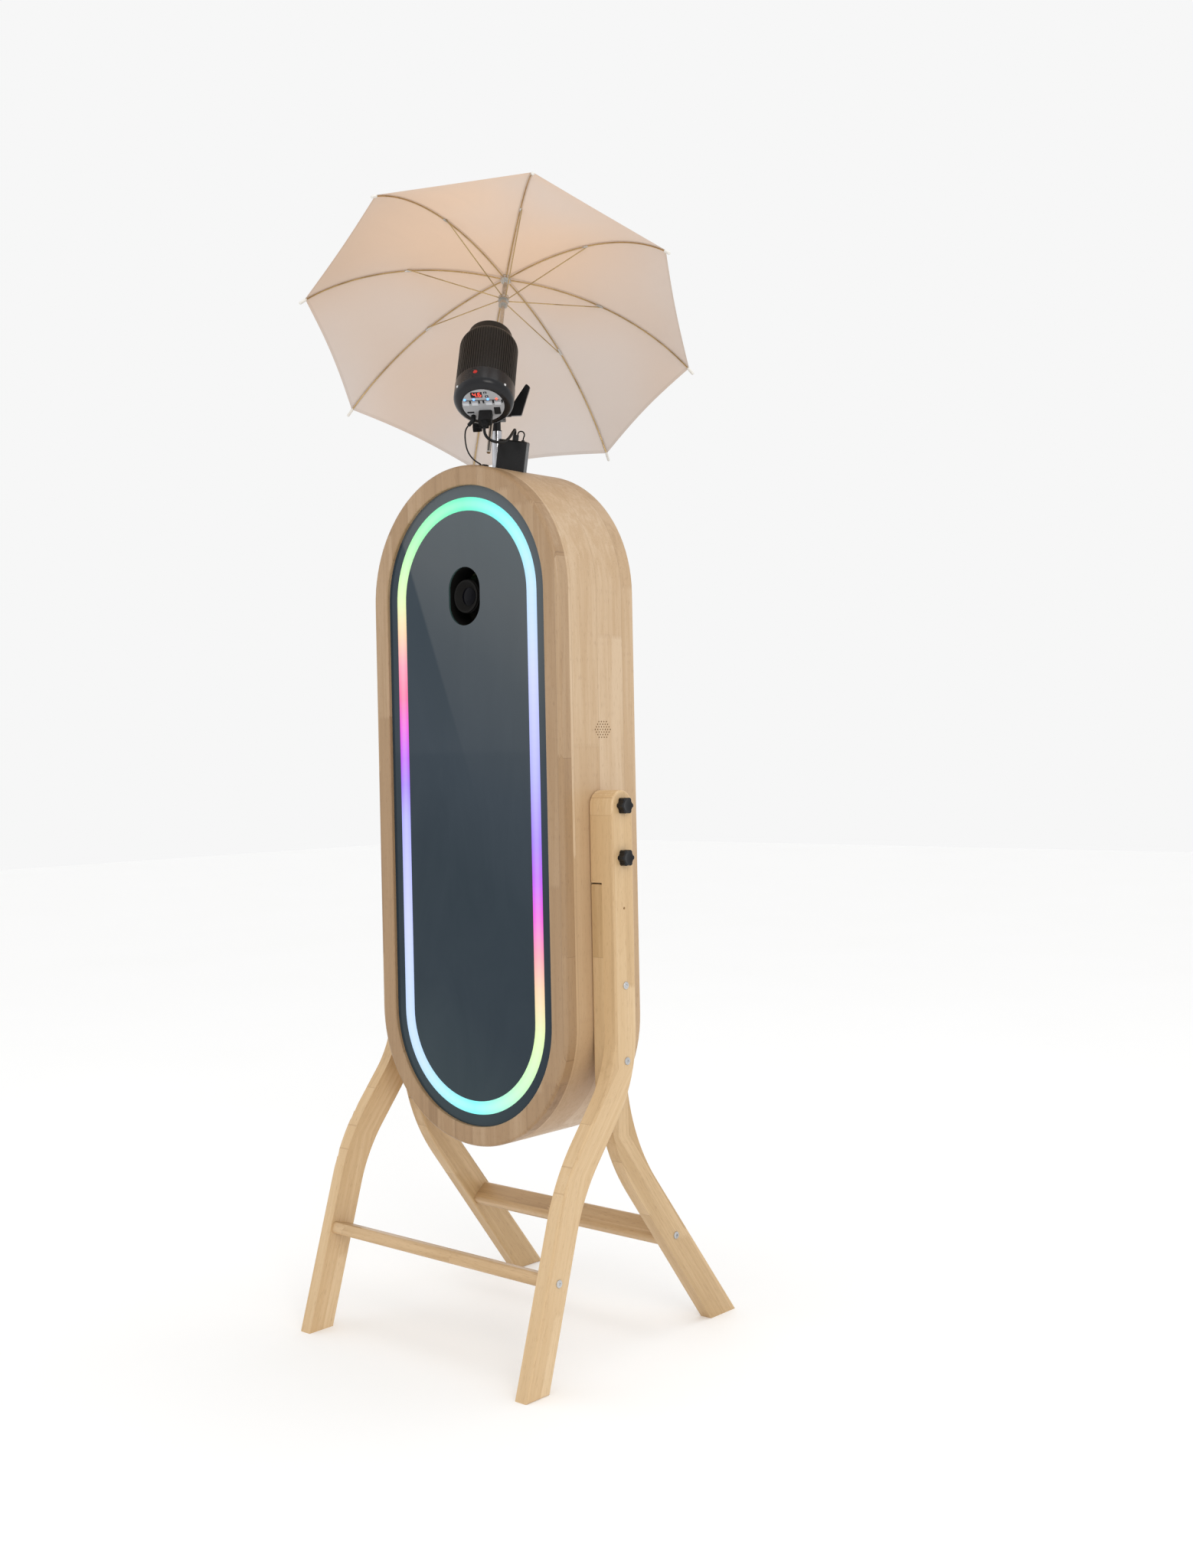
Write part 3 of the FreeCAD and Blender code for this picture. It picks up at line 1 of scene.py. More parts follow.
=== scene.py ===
"""Looks of the oval mirror photo booth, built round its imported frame.

Metres, in the frame's own axes: +X to the right of the mirror as the sitter sees it,
-Y out of the mirror, +Z up, the floor at z = 0. Everything above the light pole's tilt
pivot is laid out in the aimed frame, whose X is level, Y runs along the umbrella's shaft
and Z points away from the shaft towards the strobe.
"""

import logging
import math
from dataclasses import dataclass, field
from enum import Enum
from typing import Callable, Sequence

import bmesh
import bpy
from mathutils import Matrix, Vector


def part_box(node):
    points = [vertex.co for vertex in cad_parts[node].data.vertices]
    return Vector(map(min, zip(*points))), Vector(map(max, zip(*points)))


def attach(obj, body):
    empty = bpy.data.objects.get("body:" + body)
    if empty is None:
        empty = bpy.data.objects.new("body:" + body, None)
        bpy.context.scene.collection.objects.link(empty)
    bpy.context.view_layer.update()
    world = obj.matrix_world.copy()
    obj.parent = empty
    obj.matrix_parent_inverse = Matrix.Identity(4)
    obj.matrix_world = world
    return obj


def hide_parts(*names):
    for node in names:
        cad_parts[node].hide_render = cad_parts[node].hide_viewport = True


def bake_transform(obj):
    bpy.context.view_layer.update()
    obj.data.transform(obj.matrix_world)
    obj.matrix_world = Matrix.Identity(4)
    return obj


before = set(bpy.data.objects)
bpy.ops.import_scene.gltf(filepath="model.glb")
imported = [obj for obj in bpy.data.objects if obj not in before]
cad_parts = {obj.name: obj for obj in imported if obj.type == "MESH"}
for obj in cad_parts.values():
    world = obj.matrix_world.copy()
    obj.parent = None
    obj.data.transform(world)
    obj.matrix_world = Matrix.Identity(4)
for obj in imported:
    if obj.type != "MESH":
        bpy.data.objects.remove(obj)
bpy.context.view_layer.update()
LOG = logging.getLogger("booth")

Colour = tuple[float, float, float]
Socket = bpy.types.NodeSocket
Place = Callable[[float, float, float], Vector]


# ---- small tools ----------------------------------------------------------------------


def tint(red: int, green: int, blue: int) -> Colour:
    """Return a screen colour of 0 to 255 as the linear colour that shaders use.

    Args:
        red: Red, 0 to 255.
        green: Green, 0 to 255.
        blue: Blue, 0 to 255.

    Returns:
        The linear colour.
    """

    def linear(level: int) -> float:
        """Undo the screen's curve for one channel."""
        part = level / 255
        return part / 12.92 if part <= 0.04045 else ((part + 0.055) / 1.055) ** 2.4

    return linear(red), linear(green), linear(blue)


def opaque(colour: Sequence[float]) -> tuple[float, float, float, float]:
    """Return a colour with full alpha, as a colour socket wants it."""
    return colour[0], colour[1], colour[2], 1.0


def middle(node: str) -> Vector:
    """Return the centre of a CAD node's box."""
    low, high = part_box(node)
    return (low + high) / 2


def span(node: str) -> Vector:
    """Return the size of a CAD node's box."""
    low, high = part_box(node)
    return high - low


def add_object(name: str, data: bpy.types.ID) -> bpy.types.Object:
    """Put mesh or curve data into the scene as an object at the origin.

    Args:
        name: The piece's name.
        data: Its mesh or curve.

    Returns:
        The new object.
    """
    made = bpy.data.objects.new(name, data)
    bpy.context.scene.collection.objects.link(made)
    return made


def plain_mesh(source: bpy.types.Object) -> bpy.types.Mesh:
    """Return an object's evaluated shape, modifiers and all, as a mesh of its own."""
    graph = bpy.context.evaluated_depsgraph_get()
    return bpy.data.meshes.new_from_object(source.evaluated_get(graph))


def finish_bmesh(name: str, shape: bmesh.types.BMesh, material: bpy.types.Material | None = None,
                 smooth: bool = True, outward: bool = True) -> bpy.types.Object:
    """Turn a bmesh into an object in the scene.

    Args:
        name: The piece's name.
        shape: The bmesh, which is freed.
        material: Its finish.
        smooth: Whether its faces are shaded smooth, with sharp edges kept crisp.
        outward: Whether its faces are made to point outwards first.

    Returns:
        The new object.
    """
    if outward:
        bmesh.ops.recalc_face_normals(shape, faces=shape.faces)
    mesh = bpy.data.meshes.new(name)
    shape.to_mesh(mesh)
    shape.free()
    if smooth:
        mesh.shade_smooth()
        mesh.set_sharp_from_angle(angle=math.radians(38))
    if material is not None:
        mesh.materials.append(material)
    return add_object(name, mesh)


def dress(material: bpy.types.Material, *nodes: str) -> None:
    """Give CAD nodes a finish through their material slots.

    Args:
        material: The finish.
        *nodes: The nodes' names.
    """
    for name in nodes:
        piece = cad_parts[name]
        if not piece.data.materials:
            piece.data.materials.append(material)
        for slot in piece.material_slots:
            slot.link = "OBJECT"
            slot.material = material


def settle(piece: bpy.types.Object, body: str) -> bpy.types.Object:
    """Make a piece ride on a body and report it.

    Args:
        piece: The piece.
        body: The body that carries it.

    Returns:
        The piece.
    """
    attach(piece, body)
    LOG.info("%s rides on %s", piece.name, body)
    return piece


# ---- the aimed frame --------------------------------------------------------------------


@dataclass(frozen=True)
class Aim:
    """Where the strobe and umbrella point, as the light pole's head sets it."""

    azimuth: float = math.radians(-36.2)
    elevation: float = math.radians(55.2)
    crossing: float = 1.835

    def matrix(self) -> Matrix:
        """Return the aimed frame's place in the booth's frame."""
        level = Vector((math.sin(self.azimuth), math.cos(self.azimuth), 0))
        along = level * math.cos(self.elevation) + Vector((0, 0, math.sin(self.elevation)))
        across = along.cross(Vector((0, 0, 1))).normalized()
        up = across.cross(along)
        turned = Matrix((across, along, up)).transposed().to_4x4()
        return Matrix.Translation((0, 0, self.crossing)) @ turned

    def point(self, across: float, along: float, up: float) -> Vector:
        """Return an aimed point in the booth's frame."""
        return self.matrix() @ Vector((across, along, up))


AIM = Aim()


# ---- wiring of node trees ----------------------------------------------------------------


class Wiring:
    """Adds nodes to one tree and joins them, so that a finish reads as a recipe."""

    def __init__(self, tree: bpy.types.NodeTree) -> None:
        """Keep the tree that the nodes go into."""
        self.tree = tree

    def feed(self, socket: Socket, value: object) -> None:
        """Link a socket to another, or set its constant.

        Args:
            socket: The socket to fill.
            value: A socket to link, a constant, or None to leave it.
        """
        if isinstance(value, bpy.types.NodeSocket):
            self.tree.links.new(value, socket)
        elif value is not None:
            socket.default_value = value

    def add(self, kind: str, inputs: dict | None = None, **settings: object) -> bpy.types.Node:
        """Add one node.

        Args:
            kind: The node's type name.
            inputs: Sockets by name or number, each with a constant or a socket to link.
            **settings: The node's own properties.

        Returns:
            The node.
        """
        made = self.tree.nodes.new(kind)
        for name, value in settings.items():
            setattr(made, name, value)
        for key, value in (inputs or {}).items():
            self.feed(made.inputs[key], value)
        return made

    def math(self, operation: str, *values: object, clamp: bool = False) -> Socket:
        """Add a Math node on one, two or three values and return its result.

        Args:
            operation: The node's operation.
            *values: Constants or sockets.
            clamp: Whether the result is kept within 0 and 1.

        Returns:
            The result.
        """
        made = self.tree.nodes.new("ShaderNodeMath")
        made.operation = operation
        made.use_clamp = clamp
        for socket, value in zip(made.inputs, values):
            self.feed(socket, value)
        return made.outputs[0]

    def mix(self, share: object, first: object, second: object, blend: str = "MIX") -> Socket:
        """Mix two colours by a share and return the colour.

        Args:
            share: The second colour's share.
            first: The first colour.
            second: The second colour.
            blend: How they are blended.

        Returns:
            The colour.
        """
        made = self.add("ShaderNodeMix", data_type="RGBA", blend_type=blend)
        for number, value in ((0, share), (6, first), (7, second)):
            value = opaque(value) if isinstance(value, tuple) and len(value) == 3 else value
            self.feed(made.inputs[number], value)
        return made.outputs[2]

    def noise(self, vector: Socket, scale: object, detail: float = 2.0, rough: float = 0.5,
              bend: float = 0.0) -> Socket:
        """Add a noise texture on a vector and return its value.

        Args:
            vector: Where it is read.
            scale: Its scale.
            detail: Its octaves.
            rough: How strong the finer octaves are.
            bend: Its distortion.

        Returns:
            The value.
        """
        return self.add("ShaderNodeTexNoise", {
            "Vector": vector, "Scale": scale, "Detail": detail, "Roughness": rough, "Distortion": bend,
        }).outputs[0]

    def ease(self, value: object, start: float, end: float, low: float = 0.0, high: float = 1.0) -> Socket:
        """Turn a value smoothly from low before start to high after end.

        Args:
            value: What is read.
            start: Where the change starts.
            end: Where it ends.
            low: The result before it.
            high: The result after it.

        Returns:
            The result.
        """
        return self.add("ShaderNodeMapRange", {
            "Value": value, "From Min": start, "From Max": end, "To Min": low, "To Max": high,
        }, interpolation_type="SMOOTHSTEP").outputs[0]

    def spread(self, value: object, low: float, high: float) -> Socket:
        """Turn a value of 0 to 1 into one between low and high."""
        return self.add("ShaderNodeMapRange", {"Value": value, "To Min": low, "To Max": high}).outputs[0]

    def ramp(self, value: Socket, stops: Sequence[tuple[float, Colour]]) -> Socket:
        """Add a colour ramp and return its colour.

        Args:
            value: What it reads, from 0 to 1.
            stops: Each stop's place and colour, in order.

        Returns:
            The ramp's colour.
        """
        made = self.add("ShaderNodeValToRGB", {0: value})
        elements = made.color_ramp.elements
        while len(elements) < len(stops):
            elements.new(0.5)
        for element, (place, colour) in zip(elements, stops):
            element.position = place
            element.color = opaque(colour)
        return made.outputs[0]

    def join(self, x: object, y: object, z: object) -> Socket:
        """Make a vector from three values."""
        return self.add("ShaderNodeCombineXYZ", {0: x, 1: y, 2: z}).outputs[0]

    def split(self, vector: Socket) -> tuple[Socket, Socket, Socket]:
        """Take a vector apart into its three values."""
        outputs = self.add("ShaderNodeSeparateXYZ", {0: vector}).outputs
        return outputs[0], outputs[1], outputs[2]

    def vector(self, operation: str, *values: object, result: int = 0) -> Socket:
        """Add a Vector Math node and return one of its results.

        Args:
            operation: The node's operation.
            *values: Constants or sockets.
            result: Which output is wanted.

        Returns:
            The result.
        """
        made = self.tree.nodes.new("ShaderNodeVectorMath")
        made.operation = operation
        for socket, value in zip(made.inputs, values):
            self.feed(socket, value)
        return made.outputs[result]

    def here(self) -> Socket:
        """Return the object's own coordinates."""
        return self.add("ShaderNodeTexCoord").outputs["Object"]

    def bump(self, height: Socket, strength: float, distance: float) -> Socket:
        """Add a Bump node and return its normal."""
        made = self.add("ShaderNodeBump", {"Height": height, "Strength": strength, "Distance": distance})
        return made.outputs[0]

    def near(self, vector: Socket, point: Sequence[float], reach: float, soft: float) -> Socket:
        """Return a mask that is 1 within reach of a point and 0 a little further out."""
        far = self.vector("DISTANCE", vector, tuple(point), result=1)
        return self.ease(far, reach, reach + soft, 1.0, 0.0)


SOCKET_KINDS = {float: "NodeSocketFloat", tuple: "NodeSocketColor", Vector: "NodeSocketVector"}


class EffectGroup:
    """A shader node group with named inputs and outputs, built once and placed in many materials."""

    name = "Effect"
    inputs: dict = {}
    outputs: dict = {}

    def recipe(self, wiring: Wiring, given: dict) -> dict:
        """Wire the effect and return a socket for each output's name.

        Args:
            wiring: The group's wiring.
            given: Its inputs by name.

        Returns:
            A socket for each output's name.
        """
        raise NotImplementedError

    def tree(self) -> bpy.types.NodeTree:
        """Return the group's tree, made on first use."""
        found = bpy.data.node_groups.get(self.name)
        if found:
            return found
        made = bpy.data.node_groups.new(self.name, "ShaderNodeTree")
        for label, value in self.inputs.items():
            socket = made.interface.new_socket(label, in_out="INPUT", socket_type=SOCKET_KINDS[type(value)])
            if not isinstance(value, Vector):
                socket.default_value = opaque(value) if isinstance(value, tuple) else value
        for label, kind in self.outputs.items():
            made.interface.new_socket(label, in_out="OUTPUT", socket_type=SOCKET_KINDS[kind])
        wiring = Wiring(made)
        start = wiring.add("NodeGroupInput")
        end = wiring.add("NodeGroupOutput")
        for label, socket in self.recipe(wiring, {s.name: s for s in start.outputs}).items():
            wiring.feed(end.inputs[label], socket)
        return made

    def place(self, wiring: Wiring, **values: object) -> dict:
        """Place the group in a material.

        Args:
            wiring: The material's wiring.
            **values: Inputs, with spaces in their names written as underscores.

        Returns:
            The group's outputs by name.
        """
        made = wiring.add("ShaderNodeGroup", node_tree=self.tree())
        for label, value in values.items():
            value = opaque(value) if isinstance(value, tuple) and len(value) == 3 else value
            wiring.feed(made.inputs[label.replace("_", " ")], value)
        return {socket.name: socket for socket in made.outputs}


class StaveEffect(EffectGroup):
    """Glued-up hardwood: staves with finger-jointed ends, streaked grain, pores and rays."""

    name = "Staves"
    tooth_pitch = 0.0022
    tooth_depth = 4.0
    row_shift = 5.3
    inputs = {
        "Across": 0.0, "Depth": 0.0, "Along": 0.0, "Stave Width": 0.045, "Stave Length": 0.4,
        "Seed": 0.0, "Contrast": 1.0, "Pale": (0.6, 0.42, 0.26), "Honey": (0.5, 0.32, 0.17),
        "Dark": (0.32, 0.19, 0.09),
    }
    outputs = {"Color": tuple, "Roughness": float, "Height": float}

    def recipe(self, wiring: Wiring, given: dict) -> dict:
        """Wire the staves' numbers, then tone, grain and joints on top of them.

        Args:
            wiring: The group's wiring.
            given: Its inputs by name.

        Returns:
            A socket for each output's name.
        """
        w = wiring
        rows = w.math("DIVIDE", given["Across"], given["Stave Width"])
        row = w.math("FLOOR", rows)
        row_noise = w.add("ShaderNodeTexWhiteNoise", {
            "Vector": w.join(row, given["Seed"], 0.5)}, noise_dimensions="3D").outputs[0]
        teeth = w.math("PINGPONG", given["Across"], self.tooth_pitch)
        staves = w.math("DIVIDE", given["Along"], given["Stave Length"])
        staves = w.math("ADD", staves, w.math("MULTIPLY", row_noise, self.row_shift))
        cut = w.math("MULTIPLY", teeth, self.tooth_depth)
        staves = w.math("ADD", staves, w.math("DIVIDE", cut, given["Stave Length"]))
        stave = w.math("FLOOR", staves)
        tone = w.add("ShaderNodeTexWhiteNoise", {
            "Vector": w.join(row, stave, given["Seed"])}, noise_dimensions="3D").outputs[0]
        offset = w.math("MULTIPLY", tone, 9.0)
        streaks = w.noise(w.join(
            w.math("ADD", w.math("MULTIPLY", given["Across"], 130.0), offset),
            w.math("MULTIPLY", given["Depth"], 130.0),
            w.math("MULTIPLY", given["Along"], 4.5)), 1.0, 5.0, 0.62, 0.35)
        rings = w.noise(w.join(
            w.math("ADD", w.math("MULTIPLY", given["Across"], 22.0), offset),
            w.math("MULTIPLY", given["Depth"], 22.0),
            w.math("MULTIPLY", given["Along"], 1.6)), 1.0, 2.0, 0.5, 0.9)
        pores = w.noise(w.join(
            w.math("ADD", w.math("MULTIPLY", given["Across"], 1100.0), offset),
            w.math("MULTIPLY", given["Depth"], 1100.0),
            w.math("MULTIPLY", given["Along"], 62.0)), 1.0, 1.0, 0.4)
        pore = w.ease(pores, 0.36, 0.27)
        grain = w.math("ADD", w.math("MULTIPLY", streaks, 0.55), w.math("MULTIPLY", rings, 0.45))
        grain = w.ease(grain, 0.36, 0.66)
        level = w.math("ADD", w.math("MULTIPLY", tone, 0.62), w.math("MULTIPLY", grain, 0.38))
        level = w.math("ADD", 0.5, w.math("MULTIPLY", w.math("SUBTRACT", level, 0.5), given["Contrast"]),
                       clamp=True)
        colour = w.mix(w.ease(level, 0.18, 0.55), given["Pale"], given["Honey"])
        colour = w.mix(w.ease(level, 0.55, 1.05, 0.0, 0.8), colour, given["Dark"])
        edge = w.math("PINGPONG", rows, 0.5)
        row_line = w.ease(edge, 0.0, 0.012, 0.3, 0.0)
        end = w.math("PINGPONG", staves, 0.5)
        end_line = w.ease(w.math("MULTIPLY", end, given["Stave Length"]), 0.0, 0.0007, 0.42, 0.0)
        line = w.math("MAXIMUM", row_line, end_line)
        line = w.math("MAXIMUM", line, w.math("MULTIPLY", pore, 0.34))
        colour = w.mix(line, colour, given["Dark"], "MULTIPLY")
        rough = w.math("ADD", w.spread(grain, 0.36, 0.5), w.math("MULTIPLY", pore, 0.12))
        height = w.math("SUBTRACT", w.math("MULTIPLY", streaks, 0.35), line)
        return {"Color": colour, "Roughness": rough, "Height": height}


class SpeckleEffect(EffectGroup):
    """Moulded plastic, paint or rubber: a fine pebble, handling marks and settled dust."""

    name = "Speckle"
    inputs = {"Vector": Vector(), "Pebble": 900.0, "Base": (0.03, 0.03, 0.03), "Dust": 0.12, "Gloss": 0.45}
    outputs = {"Color": tuple, "Roughness": float, "Height": float}

    def recipe(self, wiring: Wiring, given: dict) -> dict:
        """Wire the pebble, the marks and the dust.

        Args:
            wiring: The group's wiring.
            given: Its inputs by name.

        Returns:
            A socket for each output's name.
        """
        w = wiring
        pebble = w.noise(given["Vector"], given["Pebble"], 2.0, 0.6)
        marks = w.noise(given["Vector"], 14.0, 4.0, 0.6, 0.6)
        facing = w.split(w.add("ShaderNodeNewGeometry").outputs["Normal"])[2]
        settled = w.math("MULTIPLY", w.ease(facing, 0.35, 1.0), w.ease(marks, 0.35, 0.7))
        dusty = w.math("MULTIPLY", w.math("ADD", w.math("MULTIPLY", marks, 0.25), settled), given["Dust"],
                       clamp=True)
        colour = w.mix(dusty, given["Base"], tint(160, 155, 148))
        colour = w.mix(w.spread(pebble, 0.0, 0.3), colour, tint(0, 0, 0), "MULTIPLY")
        rough = w.math("ADD", given["Gloss"], w.math("MULTIPLY", w.math("SUBTRACT", marks, 0.5), 0.3))
        rough = w.math("ADD", rough, w.math("MULTIPLY", settled, 0.15), clamp=True)
        return {"Color": colour, "Roughness": rough, "Height": pebble}


class BrushedEffect(EffectGroup):
    """Drawn or plated metal: fine lines along one direction, with faint tarnish."""

    name = "Drawn metal"
    inputs = {"Vector": Vector(), "Bright": (0.7, 0.7, 0.7), "Dull": (0.4, 0.4, 0.4), "Gloss": 0.25}
    outputs = {"Color": tuple, "Roughness": float, "Height": float}

    def recipe(self, wiring: Wiring, given: dict) -> dict:
        """Wire the lines and the tarnish.

        Args:
            wiring: The group's wiring.
            given: Its inputs by name.

        Returns:
            A socket for each output's name.
        """
        w = wiring
        lines = w.noise(given["Vector"], 1.0, 3.0, 0.7)
        tarnish = w.noise(w.here(), 24.0, 4.0, 0.6, 0.4)
        share = w.math("MULTIPLY", w.ease(tarnish, 0.4, 0.75), 0.6)
        share = w.math("ADD", share, w.math("MULTIPLY", lines, 0.25), clamp=True)
        colour = w.mix(share, given["Bright"], given["Dull"])
        rough = w.math("ADD", given["Gloss"], w.math("MULTIPLY", share, 0.3), clamp=True)
        return {"Color": colour, "Roughness": rough, "Height": lines}


class WeaveEffect(EffectGroup):
    """Plain-woven cloth read on a surface map in metres."""

    name = "Weave"
    inputs = {"Vector": Vector(), "Pitch": 0.0006}
    outputs = {"Thread": float, "Slub": float}

    def recipe(self, wiring: Wiring, given: dict) -> dict:
        """Wire the two thread directions and the uneven yarn.

        Args:
            wiring: The group's wiring.
            given: Its inputs by name.

        Returns:
            A socket for each output's name.
        """
        w = wiring
        u, v, _ = w.split(given["Vector"])
        warp = w.math("SINE", w.math("DIVIDE", w.math("MULTIPLY", u, math.tau), given["Pitch"]))
        weft = w.math("SINE", w.math("DIVIDE", w.math("MULTIPLY", v, math.tau), given["Pitch"]))
        thread = w.math("MULTIPLY", warp, weft)
        slub = w.noise(w.join(w.math("MULTIPLY", u, 60.0), w.math("MULTIPLY", v, 900.0), 0.0), 1.0, 3.0)
        return {"Thread": thread, "Slub": slub}


# ---- finishes -----------------------------------------------------------------------------


@dataclass(frozen=True)
class Finish:
    """A material made once by name. Subclasses wire its shader."""

    name: str

    def wire(self, wiring: Wiring, shader: bpy.types.Node) -> None:
        """Wire the finish into the Principled shader.

        Args:
            wiring: The material's wiring.
            shader: Its Principled shader.
        """
        raise NotImplementedError

    def make(self) -> bpy.types.Material:
        """Return the material, made on first use."""
        found = bpy.data.materials.get(self.name)
        if found:
            return found
        made = bpy.data.materials.new(self.name)
        made.use_nodes = True
        shader = made.node_tree.nodes["Principled BSDF"]
        self.wire(Wiring(made.node_tree), shader)
        return made


class Grain(Enum):
    """How a wooden piece's grain runs."""

    UPRIGHT = "straight up the piece"
    ROUND_BAND = "round the cabinet's band"
    FRONT_LEG = "down the front leg and its bends"
    REAR_LEG = "down the rear leg and its bend"
    CROSSWISE = "from side to side"


@dataclass(frozen=True)
class LegBends:
    """Where the stand's legs bend and how they lean, so that their grain can follow."""

    knee_top: float = 0.536
    knee_height: float = 0.175
    knee_lean: float = 0.81
    shin_top: float = 0.361
    shin_lean: float = 0.305
    rear_top: float = 0.404
    rear_lean: float = 0.752

    def below(self, w: Wiring, z: Socket, top: float) -> Socket:
        """Return how far a height is below a bend, and nothing above it."""
        return w.math("MAXIMUM", w.math("SUBTRACT", top, z), 0.0)

    def front(self, w: Wiring, z: Socket) -> Socket:
        """Return how far the front leg has stepped forward at a height.

        Args:
            w: The material's wiring.
            z: The height.

        Returns:
            The step.
        """
        knee = w.math("MINIMUM", self.below(w, z, self.knee_top), self.knee_height)
        shin = w.math("MULTIPLY", self.below(w, z, self.shin_top), self.shin_lean)
        return w.math("ADD", w.math("MULTIPLY", knee, self.knee_lean), shin)

    def rear(self, w: Wiring, z: Socket) -> Socket:
        """Return how far the rear leg has stepped back at a height."""
        return w.math("MULTIPLY", self.below(w, z, self.rear_top), self.rear_lean)


@dataclass(frozen=True)
class StaveWood(Finish):
    """Lacquered light hardwood in glued staves."""

    grain: Grain = Grain.UPRIGHT
    stave_width: float = 0.045
    stave_length: float = 0.4
    seed: float = 1.0
    contrast: float = 1.0
    pale: Colour = tint(206, 180, 148)
    honey: Colour = tint(190, 160, 124)
    dark: Colour = tint(150, 118, 82)

    def lines(self, w: Wiring) -> tuple[object, object, object]:
        """Return the coordinates across, into and along the staves.

        Args:
            w: The material's wiring.

        Returns:
            The three values.
        """
        x, y, z = w.split(w.here())
        if self.grain is Grain.CROSSWISE:
            return y, z, x
        if self.grain is Grain.FRONT_LEG:
            return w.math("ADD", y, LegBends().front(w, z)), x, z
        if self.grain is Grain.REAR_LEG:
            return w.math("SUBTRACT", y, LegBends().rear(w, z)), x, z
        if self.grain is Grain.ROUND_BAND:
            return y, w.math("ABSOLUTE", x), Band().shader_arc(w, x, z)
        return x, y, z

    def wire(self, wiring: Wiring, shader: bpy.types.Node) -> None:
        """Wire the staves under a thin satin lacquer.

        Args:
            wiring: The material's wiring.
            shader: Its Principled shader.
        """
        across, depth, along = self.lines(wiring)
        wood = StaveEffect().place(
            wiring, Across=across, Depth=depth, Along=along, Stave_Width=self.stave_width,
            Stave_Length=self.stave_length, Seed=self.seed, Contrast=self.contrast, Pale=self.pale,
            Honey=self.honey, Dark=self.dark)
        wiring.feed(shader.inputs["Base Color"], wood["Color"])
        wiring.feed(shader.inputs["Roughness"], wood["Roughness"])
        wiring.feed(shader.inputs["Normal"], wiring.bump(wood["Height"], 0.35, 0.0004))
        shader.inputs["Coat Weight"].default_value = 0.12
        shader.inputs["Coat Roughness"].default_value = 0.3


@dataclass(frozen=True)
class Band:
    """The cabinet's stadium outline, worked out from the frame's node."""

    def half_width(self) -> float:
        """Return half the cabinet's width."""
        return span("front_frame").x / 2

    def centre(self) -> float:
        """Return the height of the cabinet's centre."""
        return middle("front_frame").z

    def half_straight(self) -> float:
        """Return half the height of the straight sides."""
        return span("front_frame").z / 2 - self.half_width()

    def shader_arc(self, w: Wiring, x: Socket, z: Socket) -> Socket:
        """Return the distance round the band, up one side and over its arch.

        Args:
            w: The material's wiring.
            x: The place across the cabinet.
            z: The height.

        Returns:
            The distance, negative below the centre.
        """
        straight = self.half_straight()
        rise = w.math("SUBTRACT", z, self.centre())
        height = w.math("ABSOLUTE", rise)
        beyond = w.math("MAXIMUM", w.math("SUBTRACT", height, straight), 0.0)
        turned = w.math("MULTIPLY", w.math("ARCTAN2", beyond, x), self.half_width())
        along = w.math("ADD", w.math("MINIMUM", height, straight), turned)
        return w.math("MULTIPLY", w.math("SIGN", rise), along)

    def outline(self, inset: float, depth: float, steps: int = 24) -> list[Vector]:
        """Return points round the outline at an inset, each on its plane of depth.

        Args:
            inset: How far inside the outline.
            depth: The plane that it lies in.
            steps: Steps round each arch.

        Returns:
            The points in order.
        """
        radius = self.half_width() - inset
        points = []
        for sign in (1, -1):
            for i in range(steps + 1):
                turn = math.pi * i / steps
                x = sign * radius * math.cos(turn)
                z = self.centre() + sign * (self.half_straight() + radius * math.sin(turn))
                points.append(Vector((x, depth, z)))
        return points


